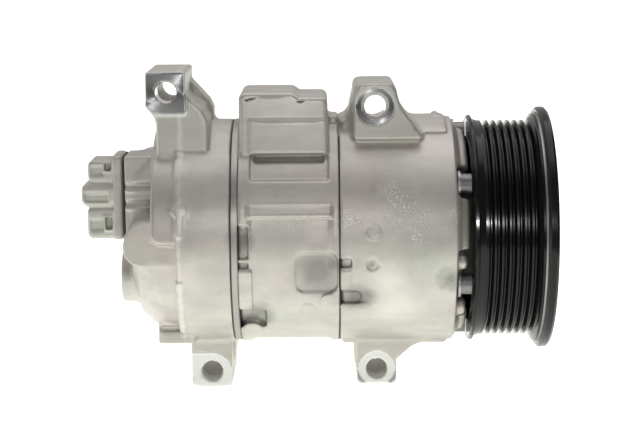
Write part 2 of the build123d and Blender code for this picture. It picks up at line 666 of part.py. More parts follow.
def piston():
    """One piston on the -Y side: a hollow crown, a waist and two jaws round the swash plate edge."""
    centre = -CYLINDER_PITCH_R
    jaw_end = PLATE_X + PISTON_JAW_HALF
    body = joined([
        rod(PISTON_R, PISTON_CROWN_X, PISTON_SKIRT_X, centre),
        rod(PISTON_NECK_R, PISTON_SKIRT_X - 1, jaw_end, centre),
    ])
    cutters = [
        rod(PISTON_HOLLOW_R, *PISTON_HOLLOW_X, centre),
        slab(PISTON_SKIRT_X, PLATE_X - PISTON_JAW_HALF, -PISTON_WAIST_R, 0, -BODY_R, BODY_R),
        slab(PLATE_X - PISTON_SLOT_HALF, PLATE_X + PISTON_SLOT_HALF, -PISTON_BRIDGE_R, 0, -BODY_R, BODY_R),
        Pos(PLATE_X, centre, 0) * Rot(0, 90, 0) * Sphere(SHOE_SPHERE_R + SHOE_FIT),
        *[ring_band(x, centre) for x in RING_GROOVE_X],
    ]
    return body.cut(*cutters)


def ring_band(x, centre):
    """The band that one piston ring fills."""
    outer = rod(PISTON_R + RUN, x, x + RING_W, centre)
    return outer - rod(PISTON_R - RING_DEPTH, x - 1, x + RING_W + 1, centre)


def piston_ring(x, centre):
    band = rod(PISTON_R + SHOE_FIT / 2, x, x + RING_W, centre)
    return band - rod(PISTON_R - RING_DEPTH, x - 1, x + RING_W + 1, centre)


def shoe_pair():
    """The two half-round shoes that hold the swash plate edge in one piston."""
    gap = PLATE_HALF + SHOE_FIT
    reach = SHOE_SPHERE_R - SHOE_POLE_CUT
    foot_r = sqrt(SHOE_SPHERE_R**2 - gap**2)
    top_r = sqrt(SHOE_SPHERE_R**2 - reach**2)
    middle = (gap + reach) / 2
    flank = ThreePointArc((gap, foot_r), (middle, sqrt(SHOE_SPHERE_R**2 - middle**2)), (reach, top_r))
    outline = flank + Polyline((reach, top_r), (reach, 0), (gap, 0), (gap, foot_r))
    shoe = revolve(make_face(outline), Axis.X)
    return [Pos(PLATE_X, -CYLINDER_PITCH_R, 0) * turn * shoe for turn in (Rot(0, 0, 0), Rot(0, 180, 0))]


def arm_pair(half, thick, r0, r1, x0, x1):
    """Two parallel arms standing off a disc."""
    return [
        slab(x0, x1, -r1, -r0, half - thick / 2, half + thick / 2),
        slab(x0, x1, -r1, -r0, -half - thick / 2, -half + thick / 2),
    ]


def guide_hole(length):
    x, r = GUIDE_PIN_AT
    return Pos(x, -r, 0) * Cylinder(GUIDE_PIN_R, length)


def swash_plate():
    r0, r1, root, tip = PLATE_ARM
    arm = slab(root, tip, -r1, -r0, -PLATE_ARM_HALF, PLATE_ARM_HALF)
    solid = joined([
        rod(PLATE_R, PLATE_X - PLATE_HALF, PLATE_X + PLATE_HALF),
        rod(PLATE_HUB_R, *PLATE_HUB_X),
        at_angle(arm, ARM_ANGLE),
    ])
    return solid.cut(rod(PLATE_BORE_R, PLATE_HUB_X[0] - 1, PLATE_HUB_X[1] + 1),
                     at_angle(guide_hole(4 * ARM_HALF), ARM_ANGLE))


def lug_plate():
    r0, r1, tip = LUG_ARM
    x0, x1 = LUG_X
    relief_in, relief_out, relief = LUG_FACE_RELIEF
    solid = joined([
        rod(LUG_R, x0, x1),
        *[at_angle(a, ARM_ANGLE) for a in arm_pair(ARM_HALF, ARM_THICK, r0, r1, tip, x0 + 1)],
    ])
    x, r = GUIDE_PIN_AT
    slot = slab(x - GUIDE_PIN_R, x + GUIDE_PIN_R, -r, -r + GUIDE_SLOT, -2 * ARM_HALF, 2 * ARM_HALF)
    slot = joined([slot, guide_hole(4 * ARM_HALF)])
    return solid.cut(
        rod(LUG_BORE_R, x0 - 1, x1 + 1),
        ring(relief_in, relief_out, x1 - relief, x1 + 1),
        at_angle(slot, ARM_ANGLE),
    )


def guide_pins():
    x, r = GUIDE_PIN_AT
    return [at_angle(Pos(x, -r, 0) * Cylinder(GUIDE_PIN_R - RUN, 2 * ARM_HALF + ARM_THICK), ARM_ANGLE)]


def drive_shaft():
    seal_x, spline_x, thread_x, end_x = SHAFT_STEPS_X
    return turned([
        (SHAFT_REAR_X, 0), (SHAFT_REAR_X, SHAFT_R - SMALL_CHAMFER), (SHAFT_REAR_X + SMALL_CHAMFER, SHAFT_R),
        (seal_x, SHAFT_R), (seal_x, SHAFT_SEAL_R), (spline_x, SHAFT_SEAL_R), (spline_x, SHAFT_SPLINE_R),
        (thread_x, SHAFT_SPLINE_R), (thread_x, SHAFT_THREAD_R), (end_x - SMALL_CHAMFER, SHAFT_THREAD_R),
        (end_x, SHAFT_THREAD_R - SMALL_CHAMFER), (end_x, 0),
    ]) - ring(SHAFT_R - SMALL_CHAMFER, SHAFT_R + 1, SNAP_X, SNAP_X + SNAP_T)


def coil(x0, x1):
    """A round-wire compression spring about the shaft."""
    pitch = (x1 - x0 - 2 * SPRING_WIRE_R) / SPRING_TURNS
    path = Helix(pitch, pitch * SPRING_TURNS, SPRING_R)
    wire = sweep(Plane(origin=path @ 0, z_dir=path % 0) * Circle(SPRING_WIRE_R), path=path, is_frenet=True)
    return Pos(x0 + SPRING_WIRE_R, 0, 0) * Rot(0, 90, 0) * wire


def snap_ring():
    gap = slab(SNAP_X - 1, SNAP_X + SNAP_T + 1, 0, SNAP_R + 1, -SHAFT_R / 2, SHAFT_R / 2)
    return ring(SHAFT_R - SMALL_CHAMFER, SNAP_R, SNAP_X, SNAP_X + SNAP_T) - gap


def needle_cup(x0, x1):
    """A drawn cup with an inturned lip at each end."""
    race_r = SHAFT_R + 2 * NEEDLE_R + 2 * RUN
    return joined([
        ring(race_r, CUP_R, x0, x1),
        ring(CUP_LIP_R, CUP_R, x0, x0 + CUP_LIP),
        ring(CUP_LIP_R, CUP_R, x1 - CUP_LIP, x1),
    ])


def needle_set(x0, x1):
    inset = CUP_LIP + CAGE_BAND_T + 3 * RUN
    return spread(rod(NEEDLE_R, x0 + inset, x1 - inset, -SHAFT_R - NEEDLE_R - RUN), NEEDLES)


def needle_cage(x0, x1):
    """Two end bands that keep the needles evenly spaced."""
    near, far = x0 + CUP_LIP + RUN, x1 - CUP_LIP - RUN
    r_in, r_out = CAGE_BAND
    bars = spread(rod(GASKET_T, near, far, -(r_in + r_out) / 2), NEEDLES, 180 / NEEDLES)
    return joined([
        ring(r_in, r_out, near, near + CAGE_BAND_T), ring(r_in, r_out, far - CAGE_BAND_T, far), *bars
    ])


def thrust_bearing():
    """Front race, needles and cage between the front wall and the lug plate."""
    r_in, r_out, thick = THRUST_RACE
    race = ring(r_in, r_out, CHAMBER_FRONT_X - thick, CHAMBER_FRONT_X)
    middle = CHAMBER_FRONT_X - thick - RUN - NEEDLE_R
    s0, s1 = THRUST_NEEDLE_SPAN
    needle = Pos(middle, -(s0 + s1) / 2, 0) * Rot(90, 0, 0) * Cylinder(NEEDLE_R, s1 - s0)
    c_in, c_out, c_thick = THRUST_CAGE
    window = slab(middle - NEEDLE_R, middle + NEEDLE_R, -s1 - RUN, -s0 + RUN, -NEEDLE_R - RUN, NEEDLE_R + RUN)
    cage = ring(c_in, c_out, middle - c_thick / 2, middle + c_thick / 2).cut(*spread(window, THRUST_NEEDLES))
    return race, spread(needle, THRUST_NEEDLES), cage


def ball_bearing():
    """Double-row ball bearing between the nose and the pulley."""
    x0, x1 = BALL_BEARING_X
    r_in, r_out = BALL_BEARING_R
    track = Pos(0, -BALL_PITCH_R, 0) * Circle(BALL_R + RUN)
    tracks = [revolve(Pos(x, 0, 0) * track, Axis.X) for x in BALL_ROWS_X]
    inner = ring(r_in, BALL_PITCH_R - BALL_RACE_STEP, x0, x1).cut(*tracks)
    outer = ring(BALL_PITCH_R + BALL_RACE_STEP, r_out, x0, x1).cut(*tracks)
    balls = [b for i, x in enumerate(BALL_ROWS_X)
             for b in spread(Pos(x, -BALL_PITCH_R, 0) * Sphere(BALL_R), BALLS, i * 180 / BALLS)]
    c_in, c_out = BALL_CAGE
    cage = ring(c_in, c_out, BALL_ROWS_X[0] - BALL_R, BALL_ROWS_X[1] + BALL_R)
    hole = Rot(90, 0, 0) * Cylinder(BALL_R + RUN, 2 * BALL_R)
    holes = [h for i, x in enumerate(BALL_ROWS_X)
             for h in spread(Pos(x, -BALL_PITCH_R, 0) * hole, BALLS, i * 180 / BALLS)]
    return inner, outer, balls, cage.cut(*holes)


def split_ring(r_in, r_out, x0, x1, gap):
    """A snap ring with its ends apart on the +Y side."""
    return ring(r_in, r_out, x0, x1) - slab(x0 - 1, x1 + 1, 0, r_out + 1, -gap / 2, gap / 2)


def shaft_seal():
    """A pressed steel case and the rubber lip that rubs on the shaft."""
    x0, x1 = SEAL_CASE_X
    case = joined([
        ring(SEAL_BORE_R - SEAL_CASE_WALL, SEAL_BORE_R, x0, x1),
        ring(SHAFT_R + SEAL_CASE_WALL, SEAL_BORE_R, x1 - SEAL_CASE_WALL, x1),
    ])
    wall_r = SEAL_BORE_R - SEAL_CASE_WALL
    rub_r = SHAFT_SEAL_R + SEAL_LIP_GAP
    lip = turned([
        (x0, wall_r), (x1 - SEAL_CASE_WALL, wall_r), (x1 - SEAL_CASE_WALL, SHAFT_R + SEAL_CASE_WALL),
        (x1 - SEAL_LIP_REACH, rub_r), (x1 - SEAL_LIP_REACH - SEAL_CASE_WALL, rub_r),
        (x1 - SEAL_LIP_REACH, wall_r - SEAL_CASE_WALL), (x0, wall_r - SEAL_CASE_WALL),
    ])
    return case, lip


def belt_face():
    """The ribbed outline of the pulley rim, from its rear edge to its front edge."""
    points = [*REAR_RIM]
    groove_r = RIB_R - GROOVE_DEPTH
    half_crest = GROOVE_PITCH / 2 - GROOVE_DEPTH * tan(GROOVE_FLANK) - GROOVE_FLAT / 2
    first = -(GROOVES - 1) / 2 * GROOVE_PITCH
    points += [(first - GROOVE_PITCH / 2 - 2 * half_crest, RIB_R)]
    for i in range(GROOVES):
        x = first + i * GROOVE_PITCH
        points += [
            (x - GROOVE_PITCH / 2 + half_crest, RIB_R), (x - GROOVE_FLAT / 2, groove_r),
            (x + GROOVE_FLAT / 2, groove_r), (x + GROOVE_PITCH / 2 - half_crest, RIB_R),
        ]
    return points + [*FRONT_RIM]


def pulley_rim():
    w0, w1 = WEB_X
    s0, s1 = PULLEY_SEAT_X
    rim = turned(belt_face())
    web = ring(PULLEY_SEAT_R - 1, RIM_INNER_R + 1, w0, w1)
    seat = ring(BALL_BEARING_R[1], PULLEY_SEAT_R, s0, s1)
    return joined([rim, web, seat])


def shim_disc():
    return ring(*SHIM)


def outer_ring():
    return turned(OUTER_RING)


def damper_lobes(x0, x1, r):
    return spread(rod(DAMPER_LOBE_R, x0, x1, -r), DAMPER_LOBES)


def damper_rubber():
    """The rubber ring between the hub and the rim, with a relief hole in each lobe."""
    r_in, r_out, x0, x1 = DAMPER
    middle = (r_in + r_out) / 2
    return ring(r_in, r_out, x0, x1).cut(*damper_lobes(x0 + (x1 - x0) / 3, x1 + 1, middle))


def hub():
    """The driven plate, its turned rim inside the rubber and its splined boss."""
    plate_r, p0, p1 = HUB_PLATE
    rim_in, rim_out, rim_x = HUB_RIM
    solid = joined([
        rod(plate_r, p0, p1), rod(HUB_BOSS_R, *HUB_BOSS_X), ring(rim_in, rim_out, rim_x, p1),
    ])
    return solid.cut(
        rod(SHAFT_SPLINE_R, HUB_BOSS_X[0] - 1, SHAFT_STEPS_X[2]),
        rod(SHAFT_THREAD_R, HUB_BOSS_X[0] - 1, p1 + 1),
        *spread(rod(HUB_HOLE_R, p0 - 1, p1 + 1, -HUB_HOLE_PITCH_R), HUB_HOLES),
    )


def hub_nut():
    """A hexagon nut with a round flange."""
    r, x0, x1 = NUT
    flange_r, flange_t = NUT_WASHER
    solid = joined([hexagon(r, x0, x1), rod(flange_r, x0, x0 + flange_t)])
    return solid - rod(SHAFT_THREAD_R, x0 - 1, x1 + 1)


def cover_lobe(lobe, flange_x):
    """One block of the port cover standing off its flange."""
    end_x, z0, z1 = lobe
    y0, y1 = LOBE_Y
    solid = slab(end_x, flange_x + 1, y0, y1, z0, z1)
    return fillet(solid.edges().filter_by(Axis.X), LOBE_CORNER_R)


def lobe_panel(lobe):
    """A shallow panel in the near side of one lobe."""
    _, z0, z1 = lobe
    x0, x1, deep = LOBE_RECESS
    inset = (z1 - z0) / 4
    return slab(x0, x1, LOBE_Y[0] - 1, LOBE_Y[0] + deep, z0 + inset, z1 - inset)


def port_cover():
    face_x = PORT_FACE_X - COVER_GASKET_T
    flange_x = face_x - COVER_FLANGE_T
    flange = slab(flange_x, face_x, *COVER_Y, *COVER_Z)
    flange = fillet(flange.edges().filter_by(Axis.X), COVER_CORNER_R)
    solid = joined([
        flange,
        *[cover_lobe(lobe, flange_x) for lobe in (UPPER_LOBE, MIDDLE_LOBE, LOWER_LOBE)],
        rod(SUCTION_PORT_R - PORT_CLEAR, face_x - 1, PORT_FACE_X + LOBE_SPIGOT, PORT_Y, SUCTION_PORT_Z),
        rod(DISCHARGE_PORT_R - PORT_CLEAR, face_x - 1, PORT_FACE_X + LOBE_SPIGOT, PORT_Y, DISCHARGE_PORT_Z),
    ])
    return solid.cut(
        rod(PORT_THREAD_R + PORT_CLEAR, MIDDLE_LOBE[0] - 1, face_x + 1, PORT_Y, PORT_BOLT_Z),
        rod(COVER_BOLT_WELL_R, MIDDLE_LOBE[0] - 1, MIDDLE_LOBE[0] + COVER_BOLT_SEAT, PORT_Y, PORT_BOLT_Z),
        lobe_panel(UPPER_LOBE),
        lobe_panel(LOWER_LOBE),
    )


def cover_gasket():
    x0, x1 = PORT_FACE_X - COVER_GASKET_T, PORT_FACE_X
    sheet = slab(x0, x1, *COVER_Y, *COVER_Z)
    sheet = fillet(sheet.edges().filter_by(Axis.X), COVER_CORNER_R)
    inset = COVER_GASKET_INSET
    y0, y1 = COVER_Y[0] + inset, COVER_Y[1] - inset
    sheet = sheet & slab(x0, x1, y0, y1, COVER_Z[0] + inset, COVER_Z[1] - inset)
    return sheet.cut(
        rod(SUCTION_PORT_R, x0 - 1, x1 + 1, PORT_Y, SUCTION_PORT_Z),
        rod(DISCHARGE_PORT_R, x0 - 1, x1 + 1, PORT_Y, DISCHARGE_PORT_Z),
        rod(PORT_THREAD_R + PORT_CLEAR, x0 - 1, x1 + 1, PORT_Y, PORT_BOLT_Z),
    )


def cover_bolt():
    head_r, head_h = COVER_BOLT_HEAD
    socket_r, socket_deep = COVER_BOLT_SOCKET
    seat_x = MIDDLE_LOBE[0] + COVER_BOLT_SEAT
    top_x = seat_x - head_h
    shank = rod(PORT_THREAD_R - RUN, seat_x - 1, PORT_FACE_X + PORT_THREAD_DEPTH - 2, PORT_Y, PORT_BOLT_Z)
    head = rod(head_r, top_x, seat_x, PORT_Y, PORT_BOLT_Z)
    return shank + head - hexagon(socket_r, top_x - 1, top_x + socket_deep, PORT_Y, PORT_BOLT_Z)


def control_valve():
    """The valve spool body in the cross bore and its three sealing rings."""
    x, z = VALVE_BORE_XZ
    body = rod_y(VALVE_BODY_R, *VALVE_BODY_Y, x, z)
    bands = [
        rod_y(VALVE_BODY_R + 1, y, y + VALVE_RING_W, x, z)
        - rod_y(VALVE_BODY_R - VALVE_RING_DEPTH, y - 1, y + VALVE_RING_W + 1, x, z)
        for y in VALVE_RINGS_Y
    ]
    rings = [
        rod_y(VALVE_BORE_R, y, y + VALVE_RING_W, x, z)
        - rod_y(VALVE_BODY_R - VALVE_RING_DEPTH, y - 1, y + VALVE_RING_W + 1, x, z)
        for y in VALVE_RINGS_Y
    ]
    return body.cut(*bands), rings


def solenoid():
    x, z = VALVE_BORE_XZ
    neck = rod_y(VALVE_BODY_R, VALVE_BODY_Y[1], SOLENOID_Y[0] + 1, x, z)
    return rod_y(SOLENOID_R, *SOLENOID_Y, x, z) + neck


def valve_snap_ring():
    x, z = VALVE_BORE_XZ
    r_out, y0, y1 = VALVE_SNAP
    return rod_y(r_out, y0, y1, x, z) - rod_y(SOLENOID_R, y0 - 1, y1 + 1, x, z)


def connector():
    """A two-pin socket on the end of the solenoid."""
    x0, x1, y0, y1, z0, z1 = CONNECTOR
    wall = CONNECTOR_WALL
    solid = slab(*CONNECTOR)
    solid = fillet(solid.edges().filter_by(Axis.Y), CONNECTOR_CORNER_R)
    well = slab(x0 + wall, x1 - wall, y1 - CONNECTOR_DEPTH, y1 + 1, z0 + wall, z1 - wall)
    latch = slab((x0 + x1) / 2 - wall, (x0 + x1) / 2 + wall, y0 + wall, y1 - wall, z1 - wall / 2, z1 + wall)
    return joined([solid - well, latch])


def connector_pins():
    x0, x1, _, y1, z0, z1 = CONNECTOR
    r, length, offset = CONNECTOR_PIN
    floor = y1 - CONNECTOR_DEPTH
    return [rod_y(r, floor, floor + length, (x0 + x1) / 2 + s * offset, (z0 + z1) / 2) for s in (-1, 1)]


def check_valve():
    """The one-way valve in the discharge port: its cage and the poppet that lifts in it."""
    x0, x1 = CHECK_X
    y, z = PORT_Y, DISCHARGE_PORT_Z
    r_in = CHECK_R - CHECK_WALL
    cage = rod(CHECK_R, x0, x1, y, z) - rod(r_in, x0 + CHECK_WALL, x1 - CHECK_WALL, y, z)
    cage = cage.cut(rod(CHECK_SEAT_R, x0 - 1, x1 + 1, y, z))
    poppet_r, p0, p1 = CHECK_POPPET
    poppet = rod(poppet_r, p0, p1, y, z)
    return cage, poppet


def write(name, shapes):
    """Saves one piece, of one or more separate solids."""
    group = shapes if isinstance(shapes, (list, tuple)) else [shapes]
    solids = [solid for shape in group for solid in shape.solids()]
    export_step(solids[0] if len(solids) == 1 else Compound(solids), f"parts/{name}.step")


def main():
    os.makedirs("parts", exist_ok=True)
    write("front_housing", front_housing())
    write("cylinder_block", cylinder_block())
    write("rear_housing", rear_housing())
    write("front_gasket", front_gasket())
    for name, sheet in valve_stack().items():
        write(name, sheet)
    write("housing_bolts", housing_bolts())
    write("bolt_washers", bolt_washers())

    for i in range(CYLINDERS):
        angle = CYLINDER_ANGLE + 360 / CYLINDERS * i
        write(f"piston_{i + 1}", at_angle(piston(), angle))
    rings = [piston_ring(x, -CYLINDER_PITCH_R) for x in RING_GROOVE_X]
    write("piston_rings", [s for r in rings for s in spread(r, CYLINDERS, CYLINDER_ANGLE)])
    write("piston_shoes", [s for shoe in shoe_pair() for s in spread(shoe, CYLINDERS, CYLINDER_ANGLE)])

    write("drive_shaft", drive_shaft())
    write("lug_plate", lug_plate())
    write("swash_plate", swash_plate())
    write("guide_pin", guide_pins())
    write("tilt_spring", coil(*TILT_SPRING_X))
    write("return_spring", coil(*RETURN_SPRING_X))
    write("spring_snap_ring", snap_ring())

    for place, span in (("front", FRONT_CUP_X), ("rear", REAR_CUP_X)):
        write(f"{place}_bearing_cup", needle_cup(*span))
        write(f"{place}_bearing_needles", needle_set(*span))
        write(f"{place}_bearing_cage", needle_cage(*span))
    race, needles, cage = thrust_bearing()
    write("thrust_race", race)
    write("thrust_needles", needles)
    write("thrust_cage", cage)

    case, lip = shaft_seal()
    write("shaft_seal_case", case)
    write("shaft_seal_lip", lip)
    write("seal_snap_ring", split_ring(*SEAL_SNAP, SHAFT_R))

    inner, outer, balls, cage = ball_bearing()
    write("pulley_bearing_inner_race", inner)
    write("pulley_bearing_outer_race", outer)
    write("pulley_bearing_balls", balls)
    write("pulley_bearing_cage", cage)
    write("bearing_snap_ring", split_ring(*BEARING_SNAP, SHAFT_R))

    write("pulley_rim", pulley_rim())
    write("shim_disc", shim_disc())
    write("outer_ring", outer_ring())
    write("damper_rubber", damper_rubber())
    write("hub", hub())
    write("hub_nut", hub_nut())

    write("port_cover", port_cover())
    write("port_cover_gasket", cover_gasket())
    write("port_cover_bolt", cover_bolt())

    body, rings = control_valve()
    write("control_valve", body)
    write("control_valve_rings", rings)
    write("control_solenoid", solenoid())
    write("control_snap_ring", valve_snap_ring())
    write("connector", connector())
    write("connector_pins", connector_pins())
    cage, poppet = check_valve()
    write("check_valve_cage", cage)
    write("check_valve_poppet", poppet)


main()
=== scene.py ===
import json
import math
import bpy
import numpy as np
import openvdb
from mathutils import Matrix, Vector


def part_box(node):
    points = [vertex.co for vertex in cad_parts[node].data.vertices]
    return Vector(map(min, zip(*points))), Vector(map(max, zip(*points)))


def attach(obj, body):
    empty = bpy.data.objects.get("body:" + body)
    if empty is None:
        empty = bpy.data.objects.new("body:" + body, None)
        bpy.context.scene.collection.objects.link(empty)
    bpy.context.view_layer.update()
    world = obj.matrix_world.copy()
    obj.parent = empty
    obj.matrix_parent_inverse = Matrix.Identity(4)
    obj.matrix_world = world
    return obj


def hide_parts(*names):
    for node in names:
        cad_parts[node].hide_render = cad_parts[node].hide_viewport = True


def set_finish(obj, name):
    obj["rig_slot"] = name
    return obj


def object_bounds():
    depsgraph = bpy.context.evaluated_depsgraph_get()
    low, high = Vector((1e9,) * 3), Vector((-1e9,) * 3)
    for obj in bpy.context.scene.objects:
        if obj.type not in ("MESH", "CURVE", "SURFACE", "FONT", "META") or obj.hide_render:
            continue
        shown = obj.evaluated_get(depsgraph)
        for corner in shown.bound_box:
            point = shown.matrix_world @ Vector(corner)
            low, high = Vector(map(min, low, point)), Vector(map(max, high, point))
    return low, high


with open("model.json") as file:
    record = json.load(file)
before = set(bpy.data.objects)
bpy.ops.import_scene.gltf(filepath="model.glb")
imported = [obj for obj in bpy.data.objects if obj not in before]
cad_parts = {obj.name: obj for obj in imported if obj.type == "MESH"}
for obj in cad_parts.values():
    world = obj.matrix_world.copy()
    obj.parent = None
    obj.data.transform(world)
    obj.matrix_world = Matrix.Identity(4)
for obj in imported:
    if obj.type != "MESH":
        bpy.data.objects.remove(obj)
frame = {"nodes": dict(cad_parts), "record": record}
first_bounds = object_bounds()

# The castings are worked out in millimetres, and every Blender object is in metres.
MM = 0.001


def span_mm(node, axis):
    """Lowest and highest place of a CAD node along one axis, in millimetres."""
    low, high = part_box(node)
    return low[axis] / MM, high[axis] / MM


def radius_mm(node):
    """Outer radius of a CAD node that is round about the shaft."""
    low, high = span_mm(node, 1)
    return (high - low) / 2


def placed(name, data):
    """A new object in the scene."""
    obj = bpy.data.objects.new(name, data)
    bpy.context.scene.collection.objects.link(obj)
    return obj


# ---- the grid that the castings are worked out on ----
STEP = 0.74
FAR = 200.0
FLATNESS = 0.005
MARGIN = 6.0
CAST_BLEND = 3.2
TOOL_BLEND = 0.7
CAST_EDGE = 1.4

# ---- stations along the shaft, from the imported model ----
FRONT_X = span_mm("bolt_washers", 0)[1] + 2.3
JOINT_X = span_mm("front_gasket", 0)[1]
BLOCK_X = span_mm("cylinder_block", 0)
PLATE_X = span_mm("retainer_gasket", 0)[0]
BODY_R = 56.0
REAR_R = radius_mm("valve_plate")
# ---- what goes through or into the castings ----
BOLTS = 6
BOLT_PITCH_R = 48.0
BOLT_START = 35.0
BOLT_HOLE_R = 3.3
CYLINDERS = 6
CYLINDER_PITCH_R = 34.0
CYLINDER_START = 5.0
CYLINDER_R = 15.0
CHAMBER_R = 44.0
CHAMBER_END_X = -34.0
PISTON_ROOM_R = 15.8
SEAL_END_X = -18.0
BEARING_END_X = -36.0
SLIP = 0.1
PAST = 4.0

# ---- the longitudinal ribs on the far side, by their angle round the shaft ----
RIB_ANGLES = (150, 180, 210)
BLOCK_RIB_ANGLES = (140, 170, 200, 230)
RIB_R = 2.6


# =====================  solids as signed distances  =====================
# A solid is (low corner, high corner, distance function), negative inside, in millimetres.

def length2(a, b):
    return np.sqrt(a * a + b * b)


def swept(flat, along, edge):
    """A flat outline's distance and the distance along its sweep, with its edges rounded."""
    a = flat + edge
    b = along + edge
    return length2(np.maximum(a, 0), np.maximum(b, 0)) + np.minimum(np.maximum(a, b), 0) - edge


def off_slab(v, v0, v1):
    return np.abs(v - (v0 + v1) / 2) - abs(v1 - v0) / 2


def block(x0, x1, y0, y1, z0, z1, edge=CAST_EDGE):
    def distance(x, y, z):
        a = np.maximum(off_slab(x, x0, x1) + edge, 0)
        b = np.maximum(off_slab(y, y0, y1) + edge, 0)
        c = np.maximum(off_slab(z, z0, z1) + edge, 0)
        outside = np.sqrt(a * a + b * b + c * c)
        inside = np.maximum(np.maximum(off_slab(x, x0, x1), off_slab(y, y0, y1)), off_slab(z, z0, z1)) + edge
        return outside + np.minimum(inside, 0) - edge
    return (x0, y0, z0), (x1, y1, z1), distance


def rod_x(r, x0, x1, y=0.0, z=0.0, edge=CAST_EDGE):
    def distance(px, py, pz):
        return swept(length2(py - y, pz - z) - r, off_slab(px, x0, x1), edge)
    return (x0, y - r, z - r), (x1, y + r, z + r), distance


def rod_y(r, y0, y1, x, z, edge=CAST_EDGE):
    def distance(px, py, pz):
        return swept(length2(px - x, pz - z) - r, off_slab(py, y0, y1), edge)
    return (x - r, y0, z - r), (x + r, y1, z + r), distance


def moved_in(points, inset):
    """The outline with every side moved inwards by the same amount."""
    sides = list(zip(points, points[1:] + points[:1]))
    area = sum(ax * by - bx * ay for (ax, ay), (bx, by) in sides)
    turn = 1 if area > 0 else -1
    normals = []
    for (ax, ay), (bx, by) in sides:
        size = math.hypot(bx - ax, by - ay)
        normals.append((-turn * (by - ay) / size, turn * (bx - ax) / size))
    out = []
    for i, (px, py) in enumerate(points):
        (ux, uy), (vx, vy) = normals[i - 1], normals[i]
        share = inset / (1 + ux * vx + uy * vy)
        out.append((px + (ux + vx) * share, py + (uy + vy) * share))
    return out


def off_outline(points, u, v):
    """Signed distance to a closed outline of straight sides."""
    nearest = FAR * FAR
    inside = np.zeros(np.broadcast(u, v).shape, bool)
    for (ax, ay), (bx, by) in zip(points, points[1:] + points[:1]):
        ex, ey = bx - ax, by - ay
        wu, wv = u - ax, v - ay
        along = np.clip((wu * ex + wv * ey) / (ex * ex + ey * ey), 0, 1)
        nearest = np.minimum(nearest, (wu - ex * along) ** 2 + (wv - ey * along) ** 2)
        spans = (ay <= v) != (by <= v)
        inside ^= spans & ((ex * wv - ey * wu > 0) == (by > ay))
    return np.where(inside, -1, 1) * np.sqrt(nearest)


def outline_y(points, y0, y1, corner=CAST_EDGE, edge=CAST_EDGE):
    """A prism along Y from (x, z) points with rounded corners and edges."""
    points = list(points)
    inner = moved_in(points, corner)
    us, vs = zip(*points)

    def distance(x, y, z):
        return swept(off_outline(inner, x, z) - corner, off_slab(y, y0, y1), edge)
    return (min(us), y0, min(vs)), (max(us), y1, max(vs)), distance


def outline_x(points, x0, x1, corner=CAST_EDGE, edge=CAST_EDGE):
    """A prism along X from (y, z) points with rounded corners and edges."""
    points = list(points)
    inner = moved_in(points, corner)
    us, vs = zip(*points)

    def distance(x, y, z):
        return swept(off_outline(inner, y, z) - corner, off_slab(x, x0, x1), edge)
    return (x0, min(us), min(vs)), (x1, max(us), max(vs)), distance


def turned(points, corner=CAST_EDGE):
    """A solid of revolution about the shaft from (x, radius) points."""
    points = list(points)
    inner = moved_in(points, corner)
    us, vs = zip(*points)
    r = max(vs)

    def distance(x, y, z):
        return off_outline(inner, x, length2(y, z)) - corner
    return (min(us), -r, -r), (max(us), r, r), distance


SIDE_Y = (-70.0, -6.0)


def side_pad(x0, x1, z0, z1, r, corner=1.0, edge=0.5, side=SIDE_Y):
    """A raised panel on the near side whose face follows the casing at a radius."""
    outline = moved_in([(x0, z0), (x1, z0), (x1, z1), (x0, z1)], corner)

    def distance(x, y, z):
        return swept(off_outline(outline, x, z) - corner, length2(y, z) - r, edge)
    return (x0, side[0], z0), (x1, side[1], z1), distance


def side_cut(x0, x1, z0, z1, r, corner=1.0, edge=0.5, side=SIDE_Y):
    """A pocket in the near side whose floor follows the casing at a radius."""
    outline = moved_in([(x0, z0), (x1, z0), (x1, z1), (x0, z1)], corner)

    def distance(x, y, z):
        return swept(off_outline(outline, x, z) - corner, r - length2(y, z), edge)
    return (x0, side[0], z0), (x1, side[1], z1), distance


def side_disc(x, z, size, r, edge=0.4, side=SIDE_Y):
    def distance(px, py, pz):
        return swept(length2(px - x, pz - z) - size, length2(py, pz) - r, edge)
    return (x - size, side[0], z - size), (x + size, side[1], z + size), distance


def side_dent(x, z, size, r, edge=0.4, side=SIDE_Y):
    def distance(px, py, pz):
        return swept(length2(px - x, pz - z) - size, r - length2(py, pz), edge)
    return (x - size, side[0], z - size), (x + size, side[1], z + size), distance


def round_the_shaft(count, radius, start):
    """(y, z) places spaced evenly round the shaft, with angles from -Y towards +Z."""
    angles = [math.radians(start + 360.0 * i / count) for i in range(count)]
    return [(-radius * math.cos(a), radius * math.sin(a)) for a in angles]


